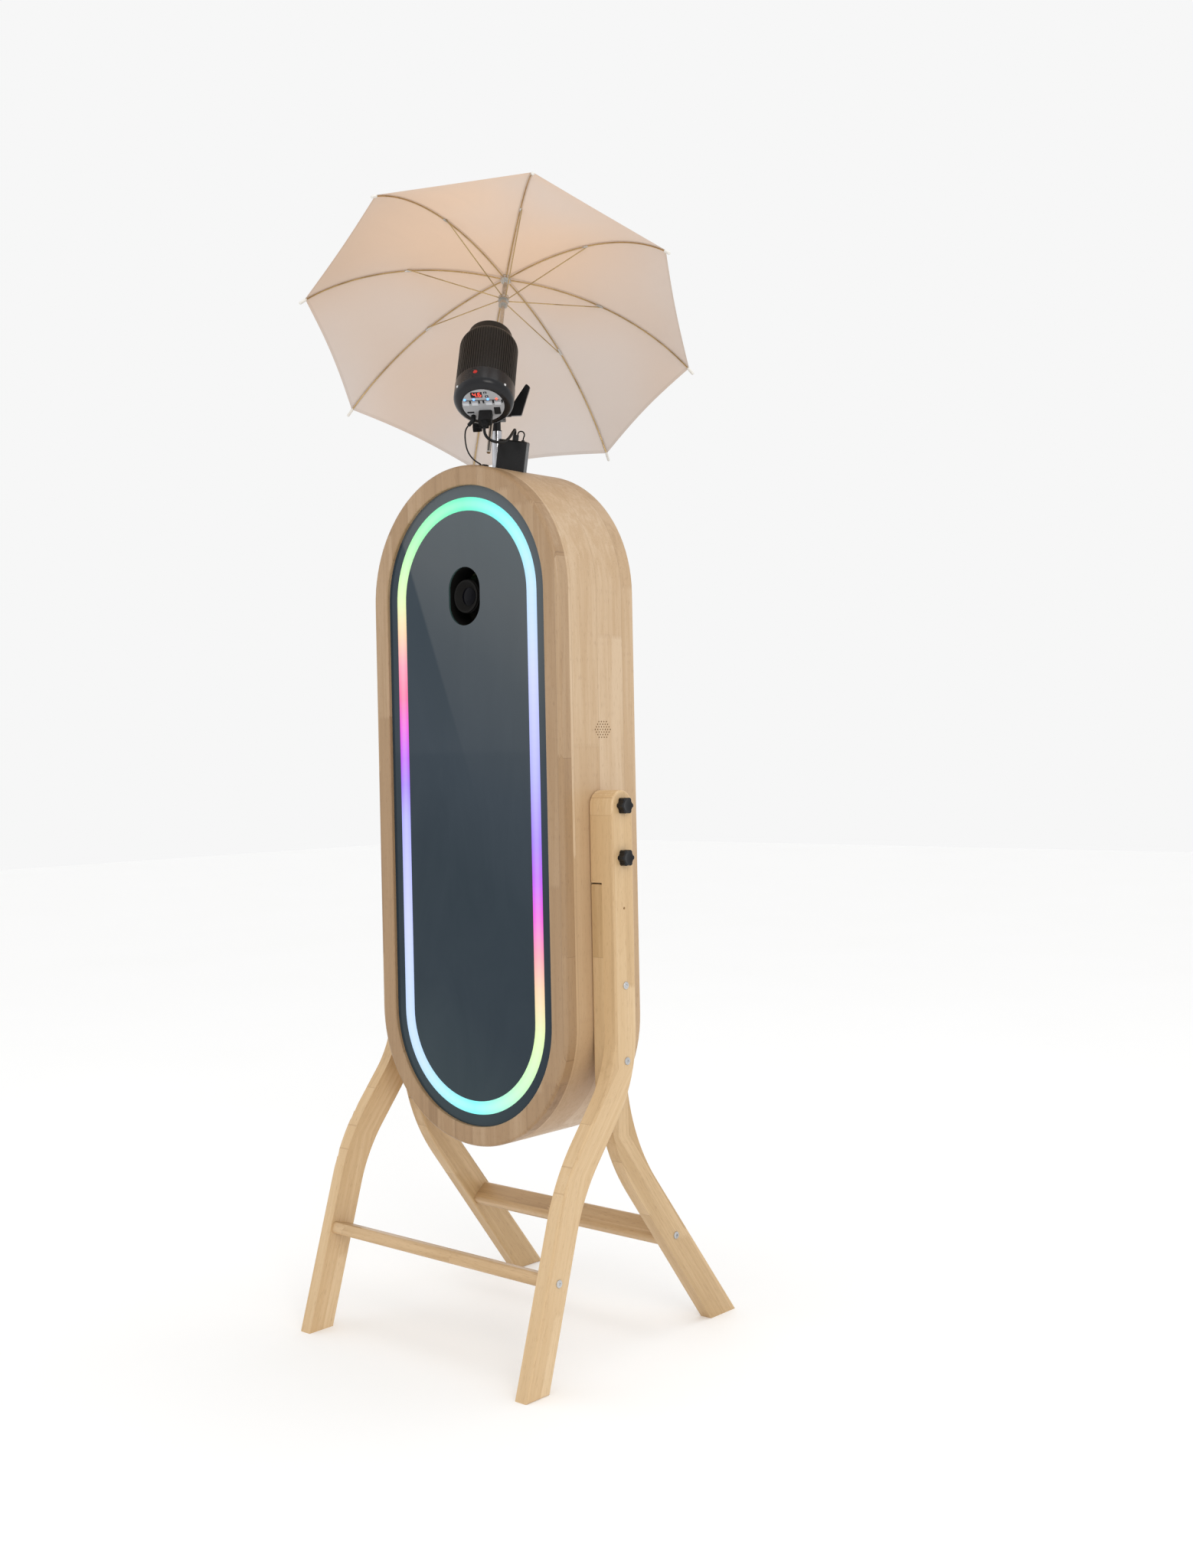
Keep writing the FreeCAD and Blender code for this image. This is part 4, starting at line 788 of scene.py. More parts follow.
@dataclass(frozen=True)
class RingGlow(Finish):
    """The lit diffuser: a slow rainbow round the ring, whiter along its middle."""

    radius: float = 0.176
    half_width: float = 0.0123
    lamp_pitch: float = 0.0166
    strength: float = 1.0

    def choose(self, w: Wiring, share: Socket, first: Socket, second: Socket) -> Socket:
        """Return the first value where the share is 1 and the second where it is 0."""
        rest = w.math("MULTIPLY", w.math("SUBTRACT", 1.0, share), second)
        return w.math("ADD", w.math("MULTIPLY", share, first), rest)

    def hues(self) -> list[tuple[float, Colour]]:
        """Return the rainbow's stops from the top, clockwise as the sitter sees it."""
        mint, aqua, sky = tint(110, 250, 200), tint(130, 248, 248), tint(190, 225, 254)
        ice, lavender, violet = tint(196, 206, 254), tint(172, 172, 253), tint(160, 120, 250)
        purple, magenta, salmon = tint(190, 90, 246), tint(236, 90, 222), tint(246, 150, 176)
        peach, lime, pale_green = tint(250, 208, 168), tint(222, 246, 180), tint(196, 252, 196)
        return [
            (0.0, mint), (0.04, aqua), (0.1, sky), (0.16, ice), (0.23, lavender), (0.275, violet),
            (0.3, purple), (0.325, magenta), (0.35, salmon), (0.375, peach), (0.41, lime),
            (0.45, pale_green), (0.5, aqua), (0.56, sky), (0.66, ice), (0.74, lavender), (0.765, violet),
            (0.785, purple), (0.808, magenta), (0.83, tint(242, 110, 160)), (0.852, salmon),
            (0.875, peach), (0.9, lime), (0.95, tint(160, 250, 180)), (1.0, mint),
        ]

    def wire(self, wiring: Wiring, shader: bpy.types.Node) -> None:
        """Wire the way round the ring, its hue, and the whiter middle.

        Args:
            wiring: The material's wiring.
            shader: Its Principled shader.
        """
        w, band = wiring, Band()
        straight = band.half_straight()
        quarter = self.radius * math.pi / 2 + straight
        x, _, z = w.split(w.here())
        rise = w.math("SUBTRACT", z, band.centre())
        height = w.math("ABSOLUTE", rise)
        beyond = w.math("MAXIMUM", w.math("SUBTRACT", height, straight), 0.0)
        side = w.math("ABSOLUTE", x)
        turned = w.math("MULTIPLY", w.math("ARCTAN2", side, beyond), self.radius)
        level = w.math("SUBTRACT", straight, w.math("MINIMUM", height, straight))
        down = w.math("ADD", turned, level)
        upper = w.math("GREATER_THAN", rise, 0.0)
        half = self.choose(w, upper, down, w.math("SUBTRACT", 2 * quarter, down))
        right = w.math("GREATER_THAN", x, 0.0)
        way = self.choose(w, right, half, w.math("SUBTRACT", 4 * quarter, half))
        hue = w.ramp(w.math("DIVIDE", way, 4 * quarter), self.hues())
        squares = w.math("ADD", w.math("MULTIPLY", side, side), w.math("MULTIPLY", beyond, beyond))
        off = w.math("ABSOLUTE", w.math("SUBTRACT", w.math("SQRT", squares), self.radius))
        core = w.ease(off, 0.1 * self.half_width, 0.95 * self.half_width, 0.14, 0.0)
        dots = w.math("SINE", w.math("MULTIPLY", way, math.tau / self.lamp_pitch))
        hue = w.mix(core, hue, (1.0, 1.0, 1.0))
        hue = w.mix(w.spread(dots, 0.0, 0.025), hue, (0.6, 0.6, 0.6), "MULTIPLY")
        w.feed(shader.inputs["Emission Color"], hue)
        shader.inputs["Emission Strength"].default_value = self.strength
        w.feed(shader.inputs["Base Color"], w.mix(0.93, hue, (0.0, 0.0, 0.0)))
        frosted = w.noise(w.here(), 700.0, 2.0)
        w.feed(shader.inputs["Roughness"], w.spread(frosted, 0.42, 0.6))


@dataclass(frozen=True)
class MirrorGlass(Finish):
    """Half-silvered glass over a dark back, with painted reflection: lighter slate at the top, blue-black
    lower down, and a darker painted wedge at the upper left.
    """

    # Painted reflection: tones that grow lighter from foot to top, standing in for the room reflected in the
    # dark glass.
    top: Colour = tint(76, 82, 86)
    reflected_waist_tone: Colour = tint(46, 57, 67)
    foot: Colour = tint(32, 46, 56)
    # Where the painted reflection's darker wedge lies.
    reflected_wedge_height: float = 1.4
    reflected_wedge_side: float = 0.12
    reflected_wedge_slope: float = -2.6

    def wire(self, wiring: Wiring, shader: bpy.types.Node) -> None:
        """Wire the painted reflection (lighter towards the top, with a darker wedge at the upper left), faint
        wipe marks and the greenish cut edge.

        Args:
            wiring: The material's wiring.
            shader: Its Principled shader.
        """
        w = wiring
        low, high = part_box("mirror_glass")
        here = w.here()
        x, y, z = w.split(here)
        height = w.add("ShaderNodeMapRange", {"Value": z, "From Min": low.z, "From Max": high.z}).outputs[0]
        # Painted reflection: lighter upwards and towards the right, with a slow drifting cloud in it.
        lean = w.math("ADD", height, w.math("MULTIPLY", x, 0.42))
        reflection_drift = w.math("MULTIPLY", w.math("SUBTRACT", w.noise(here, 2.2, 3.0), 0.5), 0.16)
        tone = w.ramp(w.math("ADD", lean, reflection_drift), [
            (0.0, tint(44, 58, 64)), (0.16, self.foot), (0.4, self.foot), (0.56, self.reflected_waist_tone),
            (0.74, tint(62, 70, 76)), (0.86, self.top), (1.0, tint(82, 90, 94))])
        # Painted reflection: a darker blue wedge at the upper left, as of the room reflected in the glass.
        reflected_room_wedge = w.math("SUBTRACT", z, w.math("MULTIPLY", w.math("ADD", x, self.reflected_wedge_side), self.reflected_wedge_slope))
        reflected_room_wedge = w.ease(reflected_room_wedge, self.reflected_wedge_height - 0.012, self.reflected_wedge_height + 0.012, 0.8, 0.0)
        reflected_room_wedge = w.math("MULTIPLY", reflected_room_wedge, w.ease(z, 0.95, 1.4))
        tone = w.mix(reflected_room_wedge, tone, tint(26, 44, 56))
        stroke = w.join(w.math("MULTIPLY", x, 9.0), 0.0, w.math("MULTIPLY", z, 3.0))
        wipes = w.noise(stroke, 1.0, 4.0, 0.6, 1.2)
        tone = w.mix(w.spread(wipes, 0.0, 0.08), tone, tint(120, 130, 140))
        edge = w.ease(w.math("SUBTRACT", y, low.y), 0.0004, 0.0012)
        tone = w.mix(w.math("MULTIPLY", edge, 0.5), tone, tint(40, 84, 74))
        w.feed(shader.inputs["Base Color"], tone)
        w.feed(shader.inputs["Roughness"], w.spread(wipes, 0.02, 0.07))
        shader.inputs["Specular IOR Level"].default_value = 0.16
        shader.inputs["Coat Weight"].default_value = 0.03
        shader.inputs["Coat Roughness"].default_value = 0.02


@dataclass(frozen=True)
class Plastic(Finish):
    """Moulded plastic, paint or rubber with a pebble and a little dust."""

    base: Colour = tint(22, 22, 24)
    gloss: float = 0.42
    pebble: float = 900.0
    dust: float = 0.1
    coat: float = 0.0
    depth: float = 0.0002
    shine: float = 0.3

    def wire(self, wiring: Wiring, shader: bpy.types.Node) -> None:
        """Wire the speckle into colour, roughness and bump.

        Args:
            wiring: The material's wiring.
            shader: Its Principled shader.
        """
        look = SpeckleEffect().place(
            wiring, Vector=wiring.here(), Pebble=self.pebble, Base=self.base, Dust=self.dust,
            Gloss=self.gloss)
        wiring.feed(shader.inputs["Base Color"], look["Color"])
        wiring.feed(shader.inputs["Roughness"], look["Roughness"])
        wiring.feed(shader.inputs["Normal"], wiring.bump(look["Height"], 0.25, self.depth))
        shader.inputs["Specular IOR Level"].default_value = self.shine
        shader.inputs["Coat Weight"].default_value = self.coat
        shader.inputs["Coat Roughness"].default_value = 0.12


@dataclass(frozen=True)
class Metal(Finish):
    """Plated or drawn metal with lines along one axis."""

    bright: Colour = tint(214, 214, 216)
    dull: Colour = tint(150, 150, 152)
    gloss: float = 0.12
    lines: tuple[float, float, float] = (900.0, 900.0, 20.0)
    tip: float = 0.0

    def wire(self, wiring: Wiring, shader: bpy.types.Node) -> None:
        """Wire the metal, and white plastic beyond the tip distance where there is one.

        Args:
            wiring: The material's wiring.
            shader: Its Principled shader.
        """
        w = wiring
        stretched = w.vector("MULTIPLY", w.here(), self.lines)
        look = BrushedEffect().place(
            w, Vector=stretched, Bright=self.bright, Dull=self.dull, Gloss=self.gloss)
        colour, rough = look["Color"], look["Roughness"]
        if self.tip:
            away = w.vector("DISTANCE", w.here(), tuple(Umbrella().hub()), result=1)
            cap = w.ease(away, self.tip - 0.0004, self.tip + 0.0004)
            colour = w.mix(cap, colour, tint(226, 224, 218))
            rough = w.math("ADD", rough, w.math("MULTIPLY", cap, 0.25), clamp=True)
            w.feed(shader.inputs["Metallic"], w.math("SUBTRACT", 1.0, cap))
        else:
            shader.inputs["Metallic"].default_value = 1.0
        w.feed(shader.inputs["Base Color"], colour)
        w.feed(shader.inputs["Roughness"], rough)
        w.feed(shader.inputs["Normal"], w.bump(look["Height"], 0.12, 0.0001))


@dataclass(frozen=True)
class EndCap(Plastic):
    """The strobe's smooth rear cap, with its red slave eye, given a faint painted glow, and two pale screws.
    """

    eye: Sequence[float] = (0.0, 0.0, 0.0)
    screws: Sequence[Sequence[float]] = ()

    def wire(self, wiring: Wiring, shader: bpy.types.Node) -> None:
        """Wire the plastic, then the eye with its faint painted glow, and the screws over it.

        Args:
            wiring: The material's wiring.
            shader: Its Principled shader.
        """
        super().wire(wiring, shader)
        w, here = wiring, wiring.here()
        colour = shader.inputs["Base Color"].links[0].from_socket
        for screw in self.screws:
            colour = w.mix(w.near(here, screw, 0.0025, 0.0002), colour, tint(205, 205, 205))
        red = w.near(here, self.eye, 0.0042, 0.0003)
        w.feed(shader.inputs["Base Color"], w.mix(red, colour, tint(150, 22, 12)))
        # Painted glow: the red eye is no lamp, but its red spot is given a faint emission.
        w.feed(shader.inputs["Emission Color"], w.mix(red, (0.0, 0.0, 0.0), tint(190, 30, 16)))
        shader.inputs["Emission Strength"].default_value = 0.35


@dataclass(frozen=True)
class Lamp(Finish):
    """A small lit thing: a digit, a status light, or a lamp's bulb."""

    colour: Colour = tint(255, 60, 40)
    strength: float = 1.6
    body: Colour = tint(120, 20, 16)

    def wire(self, wiring: Wiring, shader: bpy.types.Node) -> None:
        """Wire a glow that is a little uneven.

        Args:
            wiring: The material's wiring.
            shader: Its Principled shader.
        """
        w = wiring
        uneven = w.noise(w.here(), 400.0, 2.0)
        w.feed(shader.inputs["Emission Color"], w.mix(w.spread(uneven, 0.0, 0.25), self.colour, self.body))
        w.feed(shader.inputs["Base Color"], w.mix(w.spread(uneven, 0.0, 0.3), self.body, self.colour))
        shader.inputs["Emission Strength"].default_value = self.strength
        w.feed(shader.inputs["Roughness"], w.spread(uneven, 0.15, 0.3))


@dataclass(frozen=True)
class Nylon(Finish):
    """Thin white shoot-through nylon, sewn along the ribs and hemmed, with painted warm light and a painted
    glow standing in for the lamp inside.
    """

    white: Colour = tint(220, 214, 211)
    # The colour of the painted glow.
    painted_glow: Colour = tint(255, 206, 160)
    seam: float = 0.004
    hem: float = 0.0075
    stitch_line: float = 0.0032
    stitch_pitch: float = 0.0032

    def wire(self, wiring: Wiring, shader: bpy.types.Node) -> None:
        """Wire the weave, seams and hem, the painted warm tint and glow, and the light let through.

        Args:
            wiring: The material's wiring.
            shader: Its Principled shader.
        """
        w = wiring
        mapped = w.add("ShaderNodeUVMap", uv_map="Cloth").outputs[0]
        across, along, _ = w.split(mapped)
        weave = WeaveEffect().place(w, Vector=mapped)
        ripples = w.noise(w.join(w.math("MULTIPLY", across, 34.0), w.math("MULTIPLY", along, 5.0), 0.0),
                          1.0, 3.0, 0.5, 0.5)
        seam = w.ease(across, self.seam, self.seam + 0.0006, 1.0, 0.0)
        beside = w.math("ABSOLUTE", w.math("SUBTRACT", across, self.stitch_line))
        thread = w.math("SINE", w.math("MULTIPLY", along, math.tau / self.stitch_pitch))
        stitch = w.math("MULTIPLY", w.ease(beside, 0.0003, 0.0006, 1.0, 0.0),
                        w.math("GREATER_THAN", thread, -0.3))
        length = Umbrella().cloth_length()
        hem = w.ease(along, length - self.hem, length - self.hem + 0.0005)
        double = w.math("MAXIMUM", seam, hem)
        colour = w.mix(w.spread(weave["Slub"], 0.0, 0.1), self.white, tint(190, 186, 182))
        colour = w.mix(w.math("MULTIPLY", double, 0.12), colour, tint(150, 140, 130))
        colour = w.mix(w.math("MULTIPLY", stitch, 0.3), colour, tint(170, 160, 150))
        here = w.here()
        # Painted warm light: the cloth is tinted warmer towards the top and in soft patches, as where the
        # lamp's light falls on it.
        painted_top_light = w.ease(w.split(here)[2], 1.72, 2.12)
        painted_light_patches = w.ease(w.noise(here, 2.7, 1.0, 0.4), 0.3, 0.7)
        painted_warm_light = w.math("ADD", w.math("MULTIPLY", painted_light_patches, 0.55), w.math("MULTIPLY", painted_top_light, 0.45))
        colour = w.mix(painted_warm_light, colour, tint(250, 226, 202), "MULTIPLY")
        w.feed(shader.inputs["Base Color"], colour)
        w.feed(shader.inputs["Roughness"], w.spread(weave["Slub"], 0.5, 0.7))
        # Painted glow: emission round a point near the hub, patchy and rippled and weaker on seams and hem,
        # stands in for the lamp inside shining through the cloth.
        centre = AIM.point(0.03, 0.2, 0.16)
        painted_glow_share = w.ease(w.vector("DISTANCE", here, tuple(centre), result=1), 0.04, 0.4, 0.17, 0.0)
        painted_glow_share = w.math("MULTIPLY", painted_glow_share, w.spread(painted_light_patches, 0.4, 1.35))
        painted_glow_share = w.math("MULTIPLY", painted_glow_share, w.spread(ripples, 0.8, 1.15))
        painted_glow_share = w.math("MULTIPLY", painted_glow_share, w.math("SUBTRACT", 1.0, w.math("MULTIPLY", double, 0.4)))
        w.feed(shader.inputs["Emission Color"], w.mix(painted_glow_share, (0.0, 0.0, 0.0), self.painted_glow))
        shader.inputs["Emission Strength"].default_value = 1.0
        height = w.math("ADD", w.math("MULTIPLY", weave["Thread"], 0.03), w.math("MULTIPLY", ripples, 1.0))
        height = w.math("ADD", height, w.math("MULTIPLY", double, 0.25))
        w.feed(shader.inputs["Normal"], w.bump(height, 0.35, 0.0012))
        shader.inputs["Sheen Weight"].default_value = 0.15
        through = w.add("ShaderNodeBsdfTranslucent", {"Color": colour})
        mixed = w.add("ShaderNodeMixShader", {0: 0.26, 1: shader.outputs[0], 2: through.outputs[0]})
        output = next(n for n in w.tree.nodes if n.type == "OUTPUT_MATERIAL")
        w.feed(output.inputs["Surface"], mixed.outputs[0])


@dataclass(frozen=True)
class FloorPaint(Finish):
    """The plain pale floor."""

    def wire(self, wiring: Wiring, shader: bpy.types.Node) -> None:
        """Wire a faint unevenness.

        Args:
            wiring: The material's wiring.
            shader: Its Principled shader.
        """
        cloud = wiring.noise(wiring.here(), 1.4, 3.0)
        paint = wiring.mix(cloud, tint(244, 244, 244), tint(241, 241, 240))
        wiring.feed(shader.inputs["Base Color"], paint)
        wiring.feed(shader.inputs["Roughness"], wiring.spread(cloud, 0.75, 0.85))
        shader.inputs["Specular IOR Level"].default_value = 0.1
        shader.inputs["Emission Color"].default_value = (1.0, 1.0, 1.0, 1.0)
        shader.inputs["Emission Strength"].default_value = 0.12


BLACK = Plastic("black moulding", base=tint(16, 16, 18), dust=0.04, shine=0.22)
SATIN_BLACK = Plastic("satin black", base=tint(13, 13, 15), gloss=0.3, pebble=500.0, dust=0.03, coat=0.04)
CAMERA_BLACK = Plastic("camera black", base=tint(24, 23, 22), gloss=0.6, dust=0.0, shine=0.08)
PRINTED_BLACK = Plastic("printed black", base=tint(26, 27, 32), gloss=0.35, pebble=1500.0, dust=0.04)
SHEATH = Plastic("lead sheath", base=tint(15, 15, 16), gloss=0.48, pebble=1400.0, dust=0.05, shine=0.2)
CAST_BLACK = Plastic("finned casting", base=tint(37, 34, 31), gloss=0.4, pebble=700.0, dust=0.06, shine=0.2)
SILVER_PRINT = Plastic("silver panel print", base=tint(176, 176, 178), gloss=0.34, pebble=1600.0, dust=0.03)
KEY_CAPS = Plastic("pale key caps", base=tint(214, 216, 220), gloss=0.25, pebble=1800.0, dust=0.03)
FIBREBOARD = Plastic("painted back board", base=tint(60, 54, 47), gloss=0.62, pebble=260.0, dust=0.2,
                     depth=0.0005)
CHROME = Metal("chrome plate", bright=tint(188, 188, 192), dull=tint(140, 140, 144), gloss=0.08)
BOLT_STEEL = Metal("bolt steel", bright=tint(206, 206, 206), dull=tint(140, 140, 140), gloss=0.26,
                   lines=(30.0, 700.0, 700.0))
RIB_STEEL = Metal("gilt rib steel", bright=tint(204, 176, 124), dull=tint(140, 112, 72), gloss=0.22,
                  lines=(300.0, 300.0, 300.0), tip=0.4135)
STRUT_STEEL = Metal("gilt strut steel", bright=tint(198, 174, 128), dull=tint(134, 110, 76), gloss=0.22,
                    lines=(300.0, 300.0, 300.0))
SHAFT_STEEL = Metal("shaft steel", bright=tint(212, 210, 206), dull=tint(150, 148, 142), gloss=0.18,
                    lines=(260.0, 260.0, 260.0))


# ---- repeated small things ------------------------------------------------------------------


class Layout(Enum):
    """How a repeated thing is set out."""

    LINE = "along a line"
    RING = "round a circle"
    GRID = "in rows and columns"


@dataclass
class Repeat:
    """Copies of one template, set out by a Geometry Nodes tree with named sizes."""

    layout: Layout
    sizes: dict = field(default_factory=dict)

    def points(self, wiring: Wiring, given: dict) -> Socket:
        """Return the geometry whose points carry the copies.

        Args:
            wiring: The tree's wiring.
            given: Its inputs by name.

        Returns:
            The geometry.
        """
        if self.layout is Layout.LINE:
            line = wiring.add("GeometryNodeMeshToCurve", {"Mesh": given["Line"]}).outputs[0]
            resampled = wiring.add("GeometryNodeResampleCurve", {"Curve": line}, mode="COUNT")
            wiring.feed(resampled.inputs["Count"], given["Count"])
            return resampled.outputs[0]
        if self.layout is Layout.RING:
            return wiring.add("GeometryNodeMeshCircle", {
                "Vertices": given["Count"], "Radius": given["Radius"]}).outputs[0]
        return wiring.add("GeometryNodeMeshGrid", {
            "Size X": given["Width"], "Size Y": given["Height"],
            "Vertices X": given["Columns"], "Vertices Y": given["Rows"]}).outputs["Mesh"]

    def tree(self, material: bpy.types.Material) -> bpy.types.NodeTree:
        """Build the tree, ending in real copies with their material set.

        Args:
            material: The copies' finish.

        Returns:
            The tree, with the template and each size as a named input.
        """
        made = bpy.data.node_groups.new("Copies " + self.layout.value, "GeometryNodeTree")
        made.is_modifier = True
        made.interface.new_socket("Line", in_out="INPUT", socket_type="NodeSocketGeometry")
        made.interface.new_socket("Template", in_out="INPUT", socket_type="NodeSocketObject")
        for label, value in self.sizes.items():
            kind = "NodeSocketInt" if isinstance(value, int) else "NodeSocketFloat"
            made.interface.new_socket(label, in_out="INPUT", socket_type=kind)
        made.interface.new_socket("Copies", in_out="OUTPUT", socket_type="NodeSocketGeometry")
        wiring = Wiring(made)
        given = {s.name: s for s in wiring.add("NodeGroupInput").outputs}
        template = wiring.add("GeometryNodeObjectInfo", {"Object": given["Template"]}).outputs["Geometry"]
        copies = wiring.add("GeometryNodeInstanceOnPoints", {
            "Points": self.points(wiring, given), "Instance": template})
        if self.layout is Layout.RING:
            outward = wiring.add("GeometryNodeInputPosition").outputs[0]
            turned = wiring.add("FunctionNodeAlignRotationToVector", {"Vector": outward}, axis="X")
            wiring.feed(copies.inputs["Rotation"], turned.outputs[0])
        real = wiring.add("GeometryNodeRealizeInstances", {"Geometry": copies.outputs[0]})
        final = wiring.add("GeometryNodeSetMaterial", {"Geometry": real.outputs[0], "Material": material})
        wiring.feed(wiring.add("NodeGroupOutput").inputs[0], final.outputs[0])
        return made

    def make(self, name: str, template: bpy.types.Object, finish: Finish, place: Matrix = Matrix(),
             line: Sequence[Vector] = ()) -> bpy.types.Object:
        """Set out the copies and leave them as one plain mesh.

        Args:
            name: The piece's name.
            template: The thing to copy, which is removed afterwards.
            finish: The copies' finish.
            place: Where the layout's own plane goes.
            line: The closed line to follow, for copies along a line.

        Returns:
            The finished piece.
        """
        carrier_mesh = bpy.data.meshes.new(name + "_line")
        count = len(line)
        carrier_mesh.from_pydata(list(line), [(i, (i + 1) % count) for i in range(count)], [])
        carrier = add_object(name + "_line", carrier_mesh)
        modifier = carrier.modifiers.new("Copies", "NODES")
        modifier.node_group = self.tree(finish.make())
        wanted = {"Template": template, **self.sizes}
        for item in modifier.node_group.interface.items_tree:
            if item.in_out == "INPUT" and item.name in wanted:
                modifier[item.identifier] = wanted[item.name]
        mesh = plain_mesh(carrier)
        mesh.transform(place)
        bpy.data.objects.remove(carrier)
        bpy.data.objects.remove(template)
        mesh.name = name
        return add_object(name, mesh)


def rounded_block(name: str, size: Sequence[float], bevel: float, segments: int = 2) -> bpy.types.Object:
    """Make a block with rounded edges about the origin.

    Args:
        name: The object's name.
        size: Its three sides.
        bevel: The radius of its edges.
        segments: Steps in each round.

    Returns:
        The object.
    """
    shape = bmesh.new()
    bmesh.ops.create_cube(shape, size=1.0)
    bmesh.ops.scale(shape, vec=Vector(size), verts=shape.verts)
    bmesh.ops.bevel(shape, geom=shape.edges, offset=bevel, segments=segments, affect="EDGES", profile=0.5)
    return finish_bmesh(name, shape)


def lathe(shape: bmesh.types.BMesh, profile: Sequence[tuple[float, float]], place: Place,
          steps: int) -> None:
    """Turn a profile into a closed round solid inside a bmesh.

    Args:
        shape: The bmesh that gets the solid.
        profile: Radius and height of each ring; the first and last rings are closed.
        place: Gives the point for an x, y and height.
        steps: Faces round the solid.
    """
    rings = []
    for radius, height in profile:
        ring = []
        for i in range(steps):
            turn = math.tau * i / steps
            ring.append(shape.verts.new(place(radius * math.cos(turn), radius * math.sin(turn), height)))
        rings.append(ring)
    for low, high in zip(rings, rings[1:]):
        for i in range(steps):
            j = (i + 1) % steps
            shape.faces.new((low[i], low[j], high[j], high[i]))
    shape.faces.new(tuple(reversed(rings[0])))
    shape.faces.new(tuple(rings[-1]))


def screw_head(name: str, radius: float) -> bpy.types.Object:
    """Make a low domed screw head with a recess in it, facing +Z.

    Args:
        name: The object's name.
        radius: The head's radius.

    Returns:
        The object.
    """
    shape = bmesh.new()
    lathe(shape, [(radius, 0.0), (radius * 0.96, radius * 0.2), (radius * 0.7, radius * 0.42),
                  (radius * 0.34, radius * 0.5)], lambda x, y, h: Vector((x, y, h)), 12)
    top = max(shape.faces, key=lambda f: f.calc_center_median().z)
    bmesh.ops.inset_individual(shape, faces=[top], thickness=radius * 0.12, depth=-radius * 0.3)
    return finish_bmesh(name, shape)


# ---- the leads ---------------------------------------------------------------------------------


@dataclass
class Route:
    """A smooth line through a lead's points."""

    points: Sequence[Vector]

    def line(self) -> list[Vector]:
        """Return the points that the route's own spline gives with no thickness."""
        data = bpy.data.curves.new("route", "CURVE")
        data.dimensions = "3D"
        data.resolution_u = 8
        spline = data.splines.new("NURBS")
        spline.points.add(len(self.points) - 1)
        for point, place in zip(spline.points, self.points):
            point.co = (*place, 1.0)
        spline.order_u = 3
        spline.use_endpoint_u = True
        carrier = add_object("route", data)
        mesh = plain_mesh(carrier)
        found = [v.co.copy() for v in mesh.vertices]
        bpy.data.objects.remove(carrier)
        bpy.data.meshes.remove(mesh)
        return found


def reach(line: Sequence[Vector]) -> float:
    """Return the length of a line through its points."""
    return sum((b - a).length for a, b in zip(line, line[1:]))


@dataclass
class Lead:
    """One lead, its routes in the booth's frame, cut where it hands over from body to body."""

    name: str
    route: Sequence[Vector]
    diameter: float
    length: float
    stiffness: str
    around: int = 14

    def tube(self, name: str, line: Sequence[Vector]) -> bpy.types.Object:
        """Build a round sheath along a line, with closed ends.

        Args:
            name: The piece's name.
            line: Its centre line.

        Returns:
            The piece.
        """
        shape = bmesh.new()
        uv = shape.loops.layers.uv.new("Sheath")
        side = (line[1] - line[0]).orthogonal().normalized()
        rings = []
        for i, here in enumerate(line):
            ahead = (line[min(i + 1, len(line) - 1)] - line[max(i - 1, 0)]).normalized()
            side = (side - ahead * side.dot(ahead)).normalized()
            other = ahead.cross(side)
            ring = []
            for j in range(self.around):
                turn = math.tau * j / self.around
                out = side * math.cos(turn) + other * math.sin(turn)
                ring.append(shape.verts.new(here + out * self.diameter / 2))
            rings.append(ring)
        gone = 0.0
        for i, (low, high) in enumerate(zip(rings, rings[1:])):
            step = (line[i + 1] - line[i]).length
            for j in range(self.around):
                k = (j + 1) % self.around
                face = shape.faces.new((low[j], low[k], high[k], high[j]))
                corners = ((j, gone), (j + 1, gone), (j + 1, gone + step), (j, gone + step))
                for loop, (turn, along) in zip(face.loops, corners):
                    loop[uv].uv = (turn / self.around * math.pi * self.diameter, along)
            gone += step
        shape.faces.new(tuple(reversed(rings[0])))
        shape.faces.new(tuple(rings[-1]))
        return finish_bmesh(name, shape, SHEATH.make())

    def declare(self, piece: bpy.types.Object, share: float) -> None:
        """Log a stretch's share of the lead's real length.

        Args:
            piece: The stretch.
            share: Its share of the lead's length.
        """
        LOG.info("%s is %.0f mm of lead", piece.name, self.length * share * 1000)

    def whole(self, node: str, body: str) -> None:
        """Build the lead in one stretch, riding on one body.

        Args:
            node: The CAD node that it stands for.
            body: The body that carries it.
        """
        line = Route(self.route).line()
        piece = self.tube(self.name, line)
        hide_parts(node)
        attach(piece, body)
        self.declare(piece, 1.0)

    def handed_over(self, node: str, cut: float, plugs: Sequence[str] = ()) -> None:
        """Build the lead in two stretches that meet where the bracket carries both.

        Args:
            node: The CAD node that the stretches stand for.
            cut: How far along the line they meet, from the strobe's end.
            plugs: CAD nodes that are on the lead at the strobe's end; not used.
        """
        line = Route(self.route).line()
        gone, index = 0.0, 0
        while gone < cut:
            gone += (line[index + 1] - line[index]).length
            index += 1
        upper, lower = line[:index + 1], line[index:]
        total = reach(line)
        first = self.tube(self.name + "_upper", upper)
        second = self.tube(self.name + "_lower", lower)
        for piece in (first, second):
            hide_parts(node)
        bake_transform(first)
        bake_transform(second)
        self.declare(first, reach(upper) / total)
        self.declare(second, reach(lower) / total)


